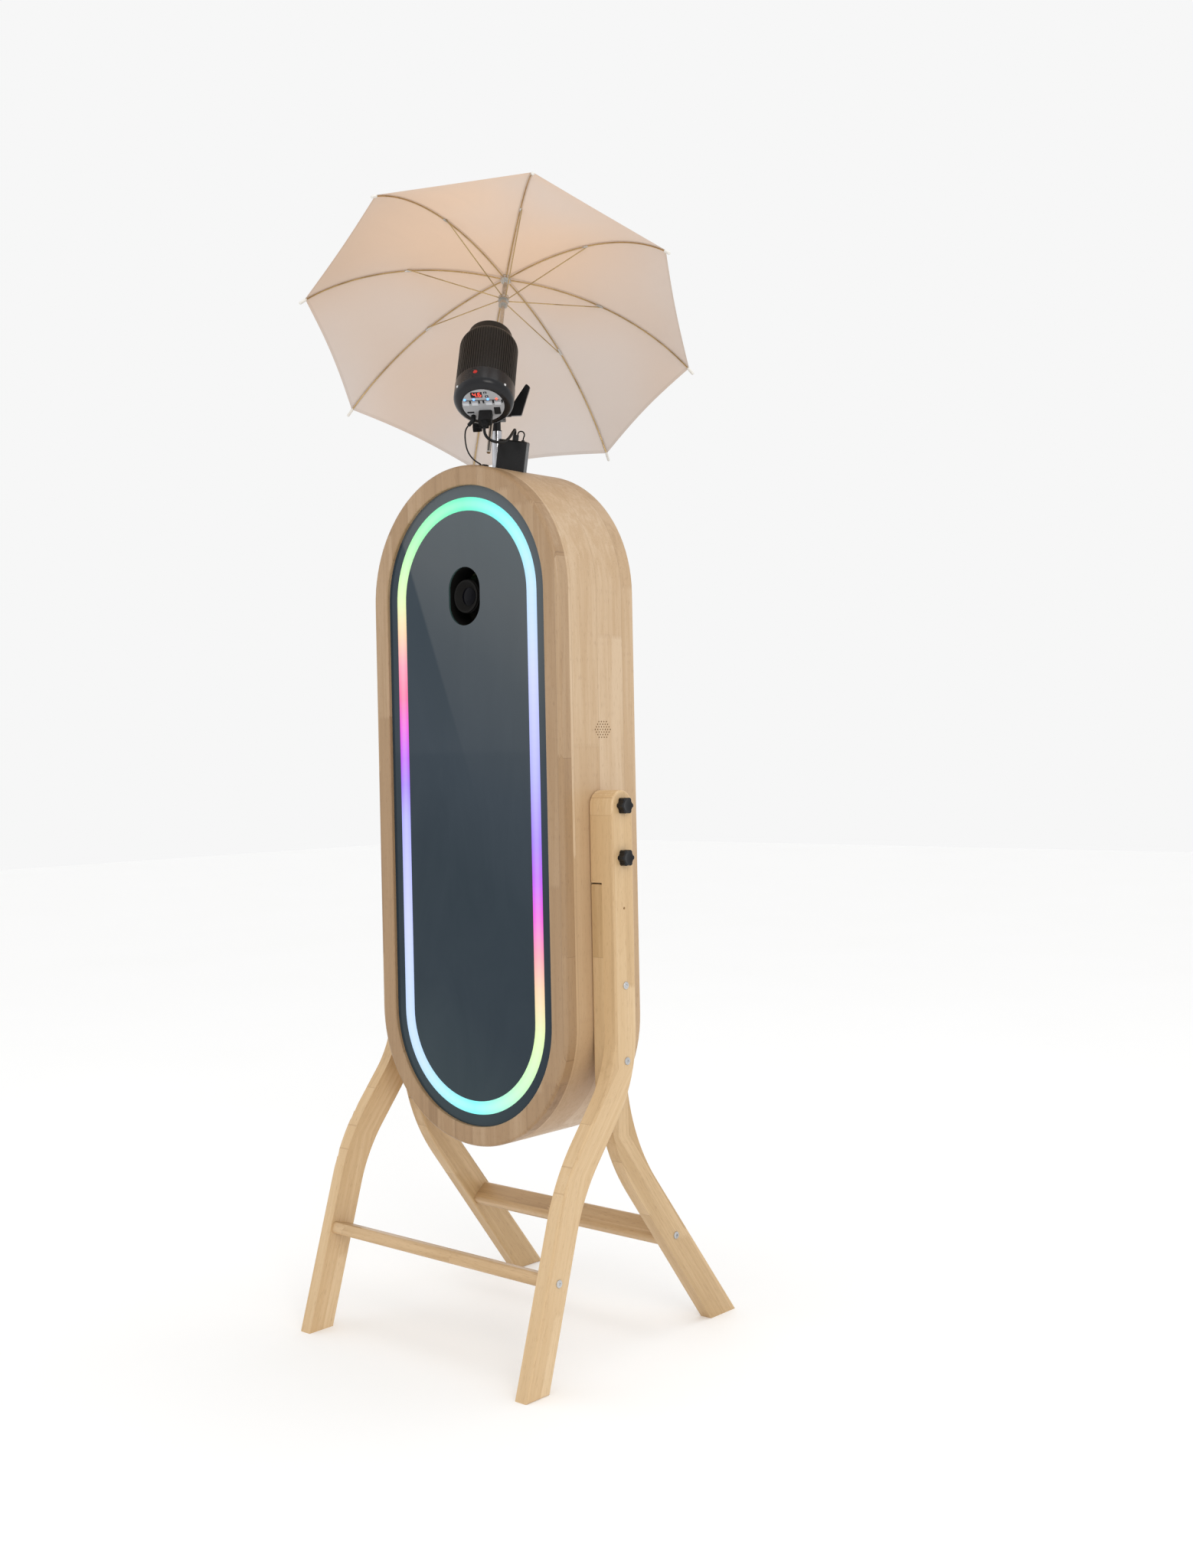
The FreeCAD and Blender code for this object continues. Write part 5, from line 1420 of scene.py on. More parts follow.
@dataclass
class Leads:
    """The three leads between the strobe, the receiver and the cabinet's cable entry."""

    receiver_x: float = 0.047
    receiver_y: float = -0.011
    receiver_height: float = 0.056
    receiver_turn: float = math.radians(30)

    def on_arch(self, x: float, y: float, height: float) -> Vector:
        """Return a point above the arch, measured along the receiver's own lean.

        Args:
            x: Across the receiver's face.
            y: Into the receiver.
            height: Above the arch.

        Returns:
            The point in the booth's frame.
        """
        band = Band()
        radius = band.half_width()
        lean = math.asin(self.receiver_x / radius)
        spring = band.centre() + band.half_straight()
        foot = Vector((self.receiver_x, self.receiver_y, spring + radius * math.cos(lean)))
        turned = Matrix.Rotation(lean, 3, "Y") @ Matrix.Rotation(self.receiver_turn, 3, "Z")
        return foot + turned @ Vector((x, y, height))

    def power(self) -> Lead:
        """Return the strobe's power lead: a sag, then up and over into the receiver's plug."""
        top = self.receiver_height
        route = [
            AIM.point(0, -0.185, 0.0572), AIM.point(0, -0.1952, 0.0572),
            Vector((0.0948, -0.1241, 1.6978)), Vector((0.0954, -0.1153, 1.6930)),
            Vector((0.0951, -0.1053, 1.6912)), Vector((0.0944, -0.0946, 1.6911)),
            Vector((0.0930, -0.0831, 1.6925)), Vector((0.0905, -0.0717, 1.6957)),
            Vector((0.0870, -0.0610, 1.7003)), Vector((0.0830, -0.0514, 1.7057)),
            Vector((0.0788, -0.0427, 1.7113)), Vector((0.0748, -0.0350, 1.7166)),
            Vector((0.0713, -0.0285, 1.7211)), Vector((0.0683, -0.0231, 1.7247)),
            self.on_arch(0.0002, -0.0072, top + 0.0202), self.on_arch(-0.0001, -0.0028, top + 0.0190),
            self.on_arch(-0.0002, 0, top + 0.0155), self.on_arch(-0.0002, 0, top + 0.0110),
        ]
        return Lead("power_cable", route, 0.0054, 0.156, "medium")

    def sync(self) -> Lead:
        """Return the thin sync lead, down over the arch's edge to the cable entry."""
        start = AIM.point(-0.033, -0.164, 0.0432)
        elbow = AIM.matrix().to_3x3() @ Vector((-9, -4, -8)).normalized()
        route = [
            start, start + elbow * 0.0084,
            Vector((0.0429, -0.1274, 1.7088)), Vector((0.0436, -0.1281, 1.7003)),
            Vector((0.0450, -0.1280, 1.6902)), Vector((0.0460, -0.1267, 1.6818)),
            Vector((0.0479, -0.1237, 1.6731)), Vector((0.0500, -0.1193, 1.6662)),
            Vector((0.0518, -0.1129, 1.6609)), Vector((0.0519, -0.1058, 1.6580)),
            Vector((0.0501, -0.0984, 1.6569)), Vector((0.0457, -0.0911, 1.6568)),
            Vector((0.0383, -0.0841, 1.6576)), Vector((0.0310, -0.0783, 1.6586)),
            Vector((0.0236, -0.0732, 1.6599)), Vector((0.0176, -0.0688, 1.6610)),
            Vector((0.0140, -0.0628, 1.6615)), Vector((0.0140, -0.0570, 1.6615)),
        ]
        return Lead("sync_cable", route, 0.0028, 0.1451, "limp")

    def loop(self) -> Lead:
        """Return the short loop on the receiver's top."""
        top = self.receiver_height
        places = [(5.6, 11), (5.6, 15.2), (8.7, 18.5), (13.3, 19.0), (17.2, 16.6), (18.7, 12.4),
                  (17.9, 8.6), (17.0, 5.6), (17.0, 2.5)]
        route = [self.on_arch(x / 1000, 0, top + height / 1000) for x, height in places]
        return Lead("loop_cable", route, 0.0026, 0.0317, "limp")

    def build(self) -> None:
        """Build all three and log their lengths."""
        self.power().handed_over("power_lead", cut=0.05, plugs=("strobe_plugs",))
        self.sync().handed_over("sync_lead", cut=0.046)
        self.loop().whole("loop_lead", "cabinet")


# ---- the cabinet and its stand -------------------------------------------------------------------


@dataclass
class Cabinet:
    """The stadium cabinet: wooden frame and band, mirror, light ring and back."""

    screw_radius: float = 0.0032
    screw_count: int = 22
    screw_inset: float = 0.032
    louvre: tuple[float, float, float] = (0.052, 0.0024, 0.004)
    vent_columns: int = 3
    vent_rows: int = 9
    vent_height: float = 0.1
    vent_spread: float = 2.5
    lens_profile: tuple = (
        (0.0175, 0.0), (0.0172, 0.0012), (0.0125, 0.0026), (0.0062, 0.0034), (0.001, 0.0036))
    lens_set_back: float = 0.0095
    grip_rib: tuple[float, float, float] = (0.0012, 0.0017, 0.011)
    grip_count: int = 56
    grip_radius: float = 0.0311
    grip_set_back: float = 0.028
    pin_places: tuple = ((0.0, 0.0035), (-0.006, -0.002), (0.006, -0.002))
    pin_size: tuple[float, float, float] = (0.0015, 0.012, 0.004)
    pin_set_back: float = 0.0105

    def dress_nodes(self) -> None:
        """Give the cabinet's CAD nodes their finishes."""
        dress(StaveWood("front frame wood", stave_width=0.048, stave_length=0.36, seed=3.0, contrast=0.8,
                        pale=tint(174, 145, 112), honey=tint(160, 129, 94), dark=tint(126, 96, 64)).make(),
              "front_frame")
        dress(StaveWood("band wood", grain=Grain.ROUND_BAND, stave_width=0.07, stave_length=0.5,
                        seed=7.0, contrast=0.62).make(), "wall_arches", "side_walls")
        dress(FIBREBOARD.make(), "back_panel")
        dress(MirrorGlass("half-silvered glass").make(), "mirror_glass")
        dress(RingGlow("rainbow diffuser").make(), "led_ring")
        dress(SATIN_BLACK.make(), "touch_display")
        dress(CAMERA_BLACK.make(), "camera_shroud", "camera")
        dress(BLACK.make(), "computer", "speakers", "power_inlet")

    def back_screws(self) -> None:
        """Set screws round the back board, heads outwards."""
        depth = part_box("back_panel")[1].y
        head = screw_head("board_screw_template", self.screw_radius)
        head.data.transform(Matrix.Rotation(-math.pi / 2, 4, "X"))
        copies = Repeat(Layout.LINE, {"Count": self.screw_count})
        around = Band().outline(self.screw_inset, depth)
        piece = copies.make("back_board_screws", head, BOLT_STEEL, line=around)
        settle(piece, "cabinet")

    def vents(self) -> None:
        """Set rows of low louvres on the back board behind the computer."""
        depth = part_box("back_panel")[1].y
        width, height, proud = self.louvre
        block = rounded_block("louvre_template", (width, height * 2, proud), 0.0011)
        copies = Repeat(Layout.GRID, {
            "Width": width * self.vent_spread, "Height": self.vent_height, "Columns": self.vent_columns,
            "Rows": self.vent_rows})
        centre = Vector((0, depth, middle("computer").z))
        upright = Matrix.Translation(centre) @ Matrix.Rotation(math.pi / 2, 4, "X")
        piece = copies.make("back_vents", block, BLACK, place=upright)
        settle(piece, "cabinet")

    def lens(self) -> None:
        """Add the coated front glass and the focusing ring's ribs to the camera."""
        centre = middle("camera_shroud")
        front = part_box("camera")[0].y
        glass = bmesh.new()
        lathe(glass, self.lens_profile,
              lambda x, y, h: Vector((x, front + self.lens_set_back - h, centre.z + y)), 40)
        coated = Plastic("coated lens glass", base=tint(8, 8, 14), gloss=0.06, dust=0.0, coat=0.02,
                         shine=0.06)
        settle(finish_bmesh("lens_glass", glass, coated.make()), "cabinet")
        rib = rounded_block("lens_rib_template", self.grip_rib, 0.0003, 1)
        copies = Repeat(Layout.RING, {"Count": self.grip_count, "Radius": self.grip_radius})
        seat = Matrix.Translation((0, front + self.grip_set_back, centre.z))
        upright = seat @ Matrix.Rotation(math.pi / 2, 4, "X")
        settle(copies.make("lens_grip", rib, CAMERA_BLACK, place=upright), "cabinet")

    def inlet_pins(self) -> None:
        """Stand three flat pins in the mains inlet."""
        centre = middle("power_inlet")
        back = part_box("power_inlet")[1].y
        shape = bmesh.new()
        for x, z in self.pin_places:
            made = bmesh.ops.create_cube(shape, size=1.0)["verts"]
            bmesh.ops.scale(shape, vec=self.pin_size, verts=made)
            bmesh.ops.translate(shape, vec=(centre.x + x, back - self.pin_set_back, centre.z + z), verts=made)
        bmesh.ops.bevel(shape, geom=shape.edges, offset=0.0004, segments=2, affect="EDGES")
        settle(finish_bmesh("inlet_pins", shape, BOLT_STEEL.make()), "cabinet")

    def build(self) -> None:
        """Dress and detail the cabinet."""
        self.dress_nodes()
        self.back_screws()
        self.vents()
        self.lens()
        self.inlet_pins()


@dataclass
class Stand:
    """Two split legs, two rails, their bolts and the four star knobs."""

    def build(self) -> None:
        """Give the stand and knobs their finishes."""
        front = StaveWood("front leg wood", grain=Grain.FRONT_LEG, stave_width=0.029, stave_length=0.55,
                          seed=11.0, contrast=0.7, pale=tint(220, 192, 152), honey=tint(206, 174, 130),
                          dark=tint(166, 132, 90))
        rear = StaveWood("rear leg wood", grain=Grain.REAR_LEG, stave_width=0.029, stave_length=0.5,
                         seed=17.0, contrast=0.7, pale=tint(206, 176, 134), honey=tint(188, 156, 112))
        rail = StaveWood("rail wood", grain=Grain.CROSSWISE, stave_width=0.024, stave_length=0.3,
                         seed=23.0, contrast=0.8, pale=tint(204, 172, 130), honey=tint(186, 152, 108))
        dress(front.make(), "front_leg_right", "front_leg_left")
        dress(rear.make(), "rear_leg_right", "rear_leg_left")
        dress(rail.make(), "front_rail", "rear_rail")
        dress(BOLT_STEEL.make(), "stand_bolts")
        for level in ("upper", "lower"):
            dress(SATIN_BLACK.make(), f"knob_{level}_right", f"knob_{level}_left")


# ---- the strobe -----------------------------------------------------------------------------------


SEGMENTS = {
    "a": (0.0, 1.0, True), "b": (0.5, 0.5, False), "c": (0.5, -0.5, False), "d": (0.0, -1.0, True),
    "e": (-0.5, -0.5, False), "f": (-0.5, 0.5, False), "g": (0.0, 0.0, True),
}
LIT = {"4": "fgbc", "6": "afgecd"}


@dataclass
class Strobe:
    """The studio strobe's panel, lamps, cap, clamp and lever."""

    rear: float = -0.149
    side: float = -0.002
    above: float = 0.0772
    digit_height: float = 0.0098
    digit_slim: float = 0.52
    readout_place: tuple = (-0.0086, 0.026)
    digits: tuple = (("4", -0.0134), ("6", -0.0036))
    point: tuple = (-0.0085, 0.0216)
    arrows: tuple = ((0.0073, 0.031, 1, 0.006), (0.0094, 0.0218, -1, 0.0062))
    key_gaps: tuple = (-0.0232, -0.0065, 0.0015, 0.0197, 0.0362)
    key_level: float = 0.009
    strip_level: float = 0.0125
    card_slot: tuple = (-0.0257, -0.017)
    light_places: tuple = ((-0.0325, "blue"), (-0.0157, "blue"), (0.0105, "blue"), (0.0266, "red"))
    light_level: float = 0.0152
    light_profile: tuple = ((0.0024, -0.0002), (0.0023, 0.0007), (0.0015, 0.0014), (0.0004, 0.0017))
    plug: tuple = (0.002, -0.020)
    relief_count: int = 4
    relief_start: float = 0.0255
    relief_pitch: float = 0.0026
    relief_radius: float = 0.0066
    relief_taper: float = 0.00062
    knob_set_back: float = 0.013
    ridge: tuple = (0.0012, 0.0013, 0.0135)
    ridge_count: int = 26
    ridge_radius: float = 0.0085
    cap_length: float = 0.044
    cap_radius: float = 0.0557
    screw_turn: float = math.radians(52)
    screw_level: float = 0.015
    eye: tuple = (-0.009, -0.014, 0.0538)

    def on_panel(self, right: float, up: float, proud: float) -> Vector:
        """Return a point on the control panel's face, or a little proud of it."""
        return AIM.point(self.side + right, self.rear - proud, self.above + up)

    def plate(self, shape: bmesh.types.BMesh, centre: tuple[float, float], size: tuple[float, float],
              proud: float = 0.0003, sunk: float = 0.0) -> None:
        """Add a thin rounded plate on the panel.

        Args:
            shape: The bmesh that gets it.
            centre: Its middle, right and up on the panel.
            size: Its width and height.
            proud: Its thickness above the face.
            sunk: How far the face it lies on is below the panel's.
        """
        corner = min(size) * 0.18
        rings = []
        for level in (-sunk, proud - sunk):
            ring = []
            for turn in range(16):
                angle = math.tau * (turn + 0.5) / 16
                right = math.copysign(size[0] / 2 - corner, math.cos(angle)) + corner * math.cos(angle)
                up = math.copysign(size[1] / 2 - corner, math.sin(angle)) + corner * math.sin(angle)
                ring.append(shape.verts.new(self.on_panel(centre[0] + right, centre[1] + up, level)))
            rings.append(ring)
        for i in range(16):
            j = (i + 1) % 16
            shape.faces.new((rings[0][i], rings[0][j], rings[1][j], rings[1][i]))
        shape.faces.new(tuple(reversed(rings[0])))
        shape.faces.new(tuple(rings[1]))

    def printing(self) -> None:
        """Lay the dark inlays: the readout's bezel, arrow squares, key strip and card slot."""
        shape = bmesh.new()
        self.plate(shape, self.readout_place, (0.0236, 0.0136), 0.0003, 0.0007)
        for right in self.key_gaps:
            self.plate(shape, (right, self.key_level), (0.0032, 0.0075))
        self.plate(shape, (0.0, self.strip_level), (0.0640, 0.0016))
        for right, up, _, wide in self.arrows:
            self.plate(shape, (right, up), (wide, 0.0052))
        self.plate(shape, self.card_slot, (0.0130, 0.0045), 0.0003, 0.0013)
        settle(finish_bmesh("panel_print", shape, PRINTED_BLACK.make()), "strobe")
        arrows = bmesh.new()
        for right, up, way, _ in self.arrows:
            corners = [(right - 0.0016, up - 0.001 * way), (right + 0.0016, up - 0.001 * way),
                       (right, up + 0.0014 * way)]
            rings = [[arrows.verts.new(self.on_panel(a, b, level)) for a, b in corners]
                     for level in (0.0003, 0.0005)]
            for i in range(3):
                j = (i + 1) % 3
                arrows.faces.new((rings[0][i], rings[0][j], rings[1][j], rings[1][i]))
            arrows.faces.new(tuple(reversed(rings[0])))
            arrows.faces.new(tuple(rings[1]))
        settle(finish_bmesh("panel_arrows", arrows, KEY_CAPS.make()), "strobe")

    def readout(self) -> None:
        """Stand the readout's lit digits on its bezel."""
        shape = bmesh.new()
        half = self.digit_height / 2
        for digit, right in self.digits:
            for letter in LIT[digit]:
                across, up, level = SEGMENTS[letter]
                centre = (right + across * self.digit_height * self.digit_slim,
                          self.readout_place[1] + up * half * 0.92)
                long, thin = half * 0.74, self.digit_height * 0.15
                self.plate(shape, centre, (long, thin) if level else (thin, long), 0.0004, 0.0004)
        self.plate(shape, self.point, (0.0014, 0.0014), 0.0004, 0.0004)
        lit = Lamp("readout red", colour=tint(255, 92, 74), strength=1.5)
        settle(finish_bmesh("readout_digits", shape, lit.make()), "strobe")

    def status_lights(self) -> None:
        """Add a small domed light above each key."""
        blue = Lamp("blue light", colour=tint(90, 150, 255), strength=3.2, body=tint(20, 50, 120))
        red = Lamp("red light", colour=tint(255, 96, 72), strength=2.0)
        lamps = {"blue": blue, "red": red}
        for colour, lamp in lamps.items():
            shape = bmesh.new()
            for right, kind in self.light_places:
                if kind == colour:
                    lathe(shape, self.light_profile,
                          lambda x, y, h, r=right: self.on_panel(r + x, self.light_level + y, h), 14)
            settle(finish_bmesh(f"status_lights_{colour}", shape, lamp.make()), "strobe")

    def relief_rings(self) -> None:
        """Add the grip rings on the power plug's tapered strain relief."""
        shape = bmesh.new()
        right, up = self.plug
        for i in range(self.relief_count):
            radius = self.relief_radius - self.relief_taper * i
            back = self.relief_start + self.relief_pitch * i
            lathe(shape, [(radius - 0.0008, 0.0), (radius + 0.0004, 0.0003), (radius + 0.0004, 0.0011),
                          (radius - 0.0008, 0.0014)],
                  lambda x, y, h, b=back: self.on_panel(right + x, up + y, b + h), 24)
        settle(finish_bmesh("relief_rings", shape, SHEATH.make()), "strobe")

    def knurl(self) -> None:
        """Ridge the clamp knob's rim."""
        centre = middle("clamp_knob")
        level = Vector((math.cos(AIM.azimuth), -math.sin(AIM.azimuth), 0))
        head = centre - level * self.knob_set_back
        ridge = rounded_block("ridge_template", self.ridge, 0.0004, 1)
        copies = Repeat(Layout.RING, {"Count": self.ridge_count, "Radius": self.ridge_radius})
        along = level.to_track_quat("Z", "Y").to_matrix().to_4x4()
        piece = copies.make("clamp_knob_ridges", ridge, BLACK, place=Matrix.Translation(head) @ along)
        settle(piece, "clamp_knob")

    def dress_nodes(self) -> None:
        """Give the strobe's CAD nodes their finishes."""
        dress(CAST_BLACK.make(), "strobe_housing")
        right, back, up = self.eye
        eye = AIM.point(self.side + right, self.rear + self.cap_length + back, self.above + up)
        screws = []
        for sign in (1, -1):
            across = self.cap_radius * math.sin(self.screw_turn) * sign
            screws.append(AIM.point(self.side + across, self.rear + self.screw_level,
                                    self.above + self.cap_radius * math.cos(self.screw_turn)))
        cap = EndCap("blue-black cap", base=tint(15, 16, 21), gloss=0.26, pebble=1200.0, dust=0.02,
                     coat=0.1, eye=tuple(eye), screws=tuple(tuple(s) for s in screws))
        dress(cap.make(), "strobe_end_cap")
        dress(SILVER_PRINT.make(), "control_panel")
        dress(KEY_CAPS.make(), *(f"key_{i}" for i in range(1, 5)))
        dress(SATIN_BLACK.make(), "rocker_switch", "tilt_lever")
        dress(SHEATH.make(), "strobe_plugs")
        dress(BLACK.make(), "bracket", "clamp_knob")
        lamp = Lamp("frosted lamp", colour=tint(255, 226, 190), strength=1.2, body=tint(240, 230, 215))
        dress(lamp.make(), "flash_tube")

    def build(self) -> None:
        """Dress and detail the strobe."""
        self.dress_nodes()
        self.printing()
        self.readout()
        self.status_lights()
        self.relief_rings()
        self.knurl()


@dataclass
class TopFittings:
    """The light pole and the receiver standing on the arch."""

    def build(self) -> None:
        """Dress the pole and receiver, and add the receiver's small parts."""
        dress(CHROME.make(), "light_pole")
        dress(SATIN_BLACK.make(), "receiver")
        leads = Leads()
        shape = bmesh.new()
        for x, size in ((-0.014, 0.0011), (-0.019, 0.0011)):
            lathe(shape, [(size, -0.0002), (size, 0.0004), (size * 0.5, 0.0008)],
                  lambda a, b, h, x=x: leads.on_arch(x + a, b, leads.receiver_height + h), 12)
        lit = Lamp("receiver light", colour=tint(120, 220, 140), strength=0.7, body=tint(20, 60, 30))
        settle(finish_bmesh("receiver_lights", shape, lit.make()), "cabinet")


# ---- the umbrella -----------------------------------------------------------------------------------


@dataclass
class Umbrella:
    """Eight ribs and struts under a sewn nylon canopy."""

    ribs: int = 8
    phase: float = math.radians(16.4)
    hub_along: float = 0.2925
    hinge_radius: float = 0.01175
    joint: tuple[float, float] = (0.1958, 0.0274)
    tip: tuple[float, float] = (0.3913, 0.1751)
    cloth_clear: float = 0.0024
    crown_depth: float = -0.0049
    hem_from_tip: float = 0.015
    hem_dip: float = 0.007
    sag: float = 0.0045
    fold_width: float = 0.09
    rows: int = 44
    columns: int = 14

    def hub(self) -> Vector:
        """Return the rib hub's centre."""
        return AIM.point(0, self.hub_along, 0)

    def circle(self) -> tuple[Vector, float, float, float]:
        """Return the ribs' arc: its centre, radius, and angles at hub and tip."""
        points = [Vector((self.hinge_radius, 0.0)), Vector(self.joint), Vector(self.tip)]
        (ax, ay), (bx, by), (cx, cy) = points
        d = 2 * (ax * (by - cy) + bx * (cy - ay) + cx * (ay - by))
        squares = [p.length_squared for p in points]
        x = (squares[0] * (by - cy) + squares[1] * (cy - ay) + squares[2] * (ay - by)) / d
        y = (squares[0] * (cx - bx) + squares[1] * (ax - cx) + squares[2] * (bx - ax)) / d
        centre = Vector((x, y))
        start, end = points[0] - centre, points[2] - centre
        return centre, start.length, math.atan2(start.y, start.x), math.atan2(end.y, end.x)

    def on_arc(self, share: float, clear: float) -> tuple[float, float]:
        """Return radius and depth at a share of the rib's arc, clear of it outwards.

        Args:
            share: A share of the arc, from hub to tip.
            clear: How far outside the rib.

        Returns:
            Radius from the shaft, and depth below the hub.
        """
        centre, radius, start, end = self.circle()
        turn = start + (end - start) * share
        away = radius + clear
        return centre.x + away * math.cos(turn), centre.y + away * math.sin(turn)

    def hem_share(self) -> float:
        """Return where the hem comes on the rib's arc."""
        _, radius, start, end = self.circle()
        return 1 - self.hem_from_tip / (radius * abs(end - start))

    def cloth_length(self) -> float:
        """Return the cloth's length down a rib, from crown to hem."""
        _, radius, start, end = self.circle()
        return radius * abs(end - start) * self.hem_share()

    def at(self, turn: float, radius: float, depth: float) -> Vector:
        """Return the point at an angle round the shaft, a radius out and a depth below the hub."""
        return AIM.point(radius * math.sin(turn), self.hub_along - depth, radius * math.cos(turn))

    def spoke(self, index: int) -> float:
        """Return one rib's angle round the shaft."""
        return self.phase + math.tau / self.ribs * index

    def cloth_point(self, rib: int, side: int, across: float, down: float) -> Vector:
        """Return a point of the cloth.

        Args:
            rib: The rib that it starts from.
            side: 1 towards the next rib, -1 towards the one before.
            across: 0 on the rib, 1 halfway to the next.
            down: 0 at the crown, 1 at the hem.

        Returns:
            The point, in the booth's frame.
        """
        bow = math.sin(math.pi / 2 * across)
        if down < 0.035:
            radius, depth = 0.0056 + (0.013 - 0.0056) * down / 0.035, self.crown_depth
        else:
            first, last = 0.07, self.hem_share()
            way = (down - 0.035) / 0.965
            last -= self.hem_dip * bow * way / self.cloth_length()
            radius, depth = self.on_arc(first + (last - first) * way, self.cloth_clear)
        here = self.at(self.spoke(rib), radius, depth)
        there = self.at(self.spoke(rib + side), radius, depth)
        chord = here.lerp(there, across / 2)
        inward = (self.at(0, 0, depth + radius * 0.45) - chord).normalized()
        belly = math.sin(math.pi * min(down * 1.15, 1.0)) * min(radius / 0.2, 1)
        return chord + inward * self.sag * bow * belly

    def gore_half(self, rib: int, side: int) -> None:
        """Build half a gore, from its rib to the middle.

        Args:
            rib: The rib's index.
            side: 1 towards the next rib, -1 towards the one before.
        """
        shape = bmesh.new()
        uv = shape.loops.layers.uv.new("Cloth")
        grid, maps = [], []
        for i in range(self.rows + 1):
            down = i / self.rows
            row = [self.cloth_point(rib, side, j / self.columns, down) for j in range(self.columns + 1)]
            grid.append([shape.verts.new(p) for p in row])
            width = (row[-1] - row[0]).length
            fallen = down * self.cloth_length()
            maps.append([(width * j / self.columns, fallen) for j in range(self.columns + 1)])
        for i in range(self.rows):
            for j in range(self.columns):
                corners = [(i, j), (i, j + 1), (i + 1, j + 1), (i + 1, j)]
                if side > 0:
                    corners.reverse()
                face = shape.faces.new([grid[a][b] for a, b in corners])
                for loop, (a, b) in zip(face.loops, corners):
                    loop[uv].uv = maps[a][b]
        area = sum(f.calc_area() for f in shape.faces)
        name = f"canopy_gore_{rib + 1}_{'next' if side > 0 else 'last'}"
        piece = finish_bmesh(name, shape, Nylon("white nylon").make(), outward=False)
        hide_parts("canopy")
        middle_way = (self.spoke(rib) + self.spoke(rib + side)) / 2
        towards = self.at(middle_way - side * math.pi / 2, 1.0, 0.0) - self.at(0, 0, 0)
        start = self.at(middle_way, self.tip[0] / 2, self.tip[1] / 2)
        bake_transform(piece)
        LOG.info("%s bends between umbrella and rib_%d", name, rib + 1)

    def sleeve(self, rib: int) -> None:
        """Clip the sleeve on a rib where its strut joins.

        Args:
            rib: The rib's index.
        """
        centre, _, start, end = self.circle()
        turn = math.atan2(self.joint[1] - centre.y, self.joint[0] - centre.x)
        along = Vector((-math.sin(turn), math.cos(turn))) * math.copysign(1.0, end - start)
        here = self.at(self.spoke(rib), *self.joint)
        ahead = self.at(self.spoke(rib), self.joint[0] + along.x * 0.01, self.joint[1] + along.y * 0.01)
        axis = (ahead - here).normalized()
        side = axis.orthogonal().normalized()
        other = axis.cross(side)
        shape = bmesh.new()
        half = ((0.0021, 0.0024), (0.00185, 0.003), (0.00175, 0.007), (0.00135, 0.0075))
        lathe(shape, [(radius, -along) for radius, along in reversed(half)] + list(half),
              lambda x, y, h: here + side * x + other * y + axis * h, 16)
        piece = finish_bmesh(f"rib_sleeve_{rib + 1}", shape, SHAFT_STEEL.make())
        settle(piece, f"rib_{rib + 1}")

    def build(self) -> None:
        """Dress the metalwork and sew the canopy."""
        for i in range(self.ribs):
            dress(RIB_STEEL.make(), f"rib_{i + 1}")
            dress(STRUT_STEEL.make(), f"strut_{i + 1}")
            self.sleeve(i)
            for side in (1, -1):
                self.gore_half(i, side)
        dress(SHAFT_STEEL.make(), "umbrella_shaft", "runner")


# ---- the studio ------------------------------------------------------------------------------------


@dataclass(frozen=True)
class Viewpoint:
    """Where the camera stands and looks."""

    place: tuple[float, float, float] = (2.3206, -2.3511, 1.1012)
    yaw: float = math.radians(41.51)
    pitch: float = math.radians(-0.87)
    roll: float = math.radians(-1.13)
    lens: float = 39.04

    def build(self) -> None:
        """Make the scene's camera."""
        level = Vector((math.cos(self.yaw), math.sin(self.yaw), 0))
        facing = Vector((-math.sin(self.yaw), math.cos(self.yaw), 0))
        ahead = facing * math.cos(self.pitch) + Vector((0, 0, math.sin(self.pitch)))
        upright = level.cross(ahead)
        right = level * math.cos(self.roll) + upright * math.sin(self.roll)
        up = upright * math.cos(self.roll) - level * math.sin(self.roll)
        data = bpy.data.cameras.new("camera")
        data.lens = self.lens
        data.sensor_width = 36.0
        camera = add_object("camera_view", data)
        turned = Matrix((right, up, -ahead)).transposed().to_4x4()
        camera.matrix_world = Matrix.Translation(self.place) @ turned
        bpy.context.scene.camera = camera


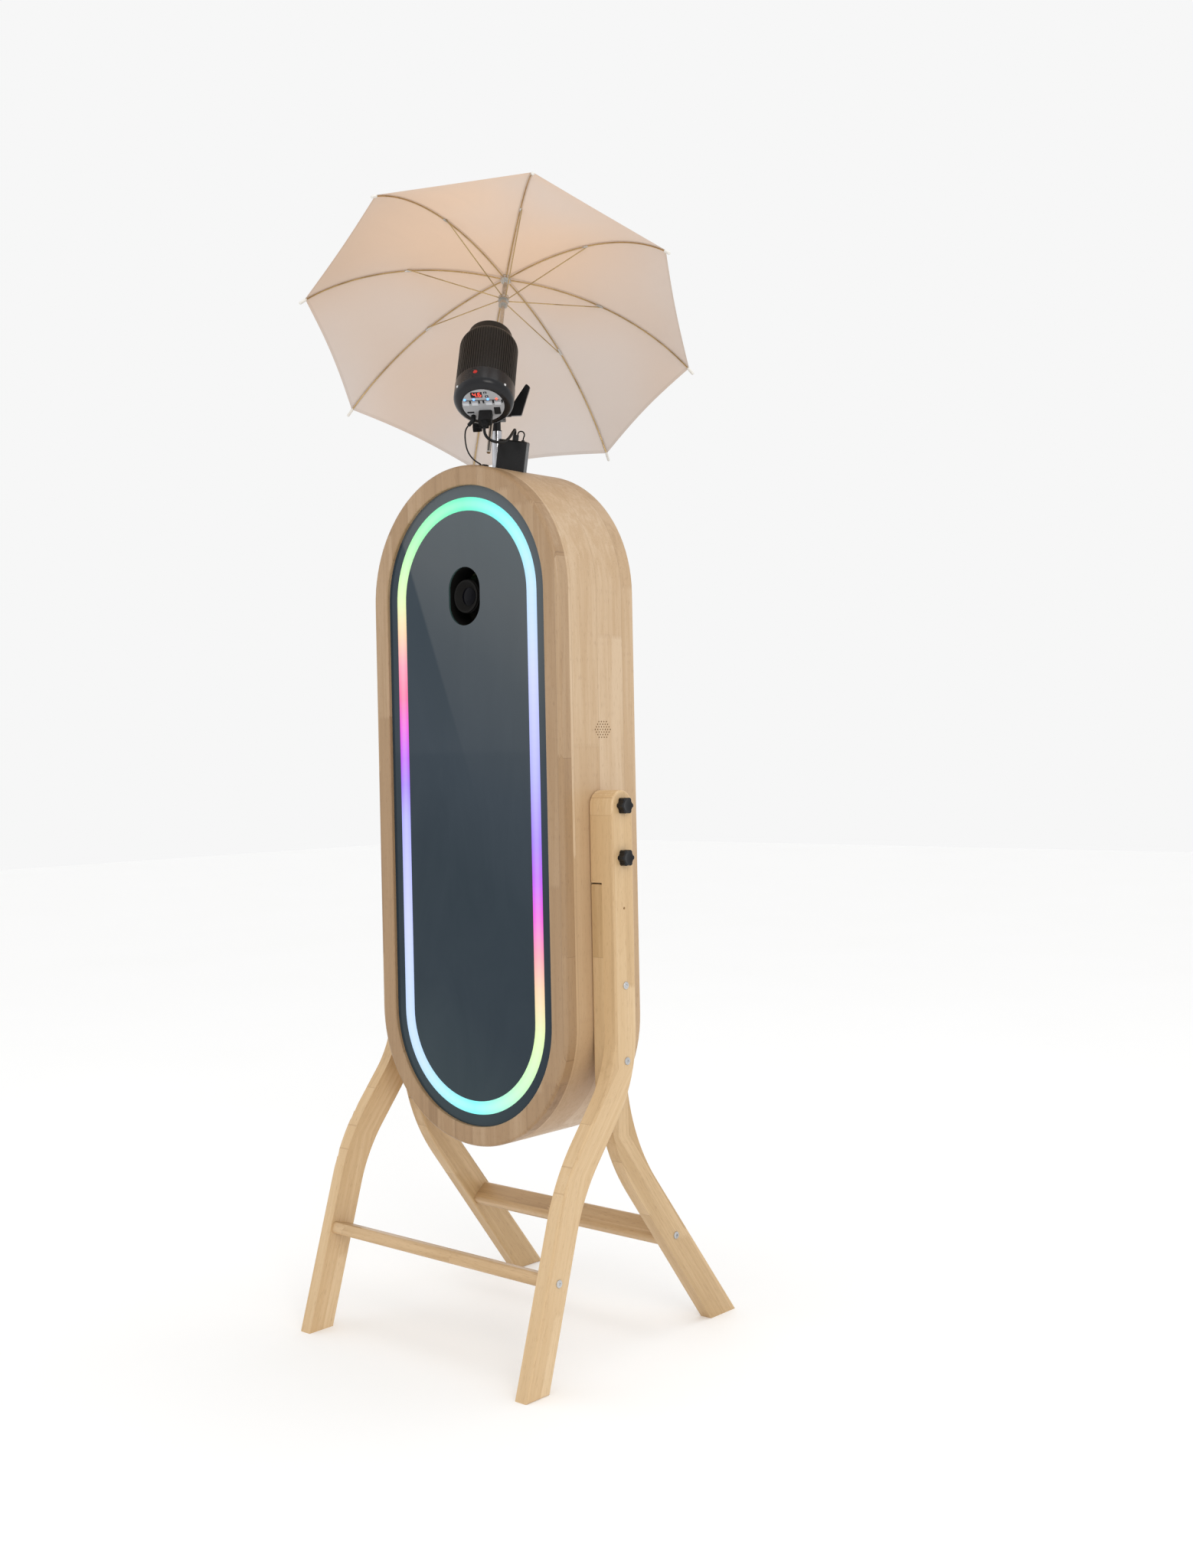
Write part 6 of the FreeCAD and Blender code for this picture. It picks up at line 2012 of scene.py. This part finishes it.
@dataclass(frozen=True)
class SoftBox:
    """One large studio light."""

    name: str
    place: tuple[float, float, float]
    aim: tuple[float, float, float]
    size: float
    power: float
    colour: Colour = (1.0, 1.0, 1.0)

    def build(self) -> None:
        """Hang the light and turn it to its aim."""
        data = bpy.data.lights.new(self.name, "AREA")
        data.shape = "SQUARE"
        data.size = self.size
        data.energy = self.power
        data.color = self.colour
        light = add_object(self.name, data)
        light.location = self.place
        light.rotation_euler = (Vector(self.aim) - Vector(self.place)).to_track_quat("-Z", "Y").to_euler()


@dataclass
class Studio:
    """Plain pale floor, pale surroundings and soft lights."""

    floor_size: float = 30.0
    sky: Colour = (1.0, 1.0, 1.0)
    sky_strength: float = 0.93
    lights: tuple[SoftBox, ...] = (
        SoftBox("key", (3.6, -2.4, 3.0), (0.0, 0.0, 1.1), 1.8, 38.0, (1.0, 0.97, 0.93)),
        SoftBox("fill", (-2.8, -3.0, 2.2), (0.0, 0.0, 1.1), 2.2, 5.0, (0.94, 0.97, 1.0)),
        SoftBox("top", (0.4, 0.6, 4.4), (0.0, 0.0, 1.0), 2.0, 16.0, (1.0, 1.0, 1.0)),
    )

    def build(self) -> None:
        """Lay the floor, light the air and hang the lights."""
        shape = bmesh.new()
        bmesh.ops.create_grid(shape, x_segments=2, y_segments=2, size=self.floor_size / 2)
        floor = finish_bmesh("floor", shape, FloorPaint("pale floor").make(), outward=False)
        world = bpy.data.worlds.new("studio")
        world.use_nodes = True
        background = world.node_tree.nodes["Background"]
        background.inputs["Color"].default_value = opaque(self.sky)
        background.inputs["Strength"].default_value = self.sky_strength
        bpy.context.scene.world = world
        bpy.context.scene.view_settings.view_transform = "Standard"
        for light in self.lights:
            light.build()


# ---- putting it together ------------------------------------------------------------------------------


def main() -> None:
    """Build the booth's looks in order: camera and leads first, then each sub-assembly."""
    logging.basicConfig(level=logging.INFO, format="%(name)s: %(message)s")
    Viewpoint().build()
    for part in (Leads(), Cabinet(), Stand(), Strobe(), TopFittings(), Umbrella(), Studio()):
        LOG.info("building %s", type(part).__name__)
        part.build()


if __name__ == "__main__":
    main()
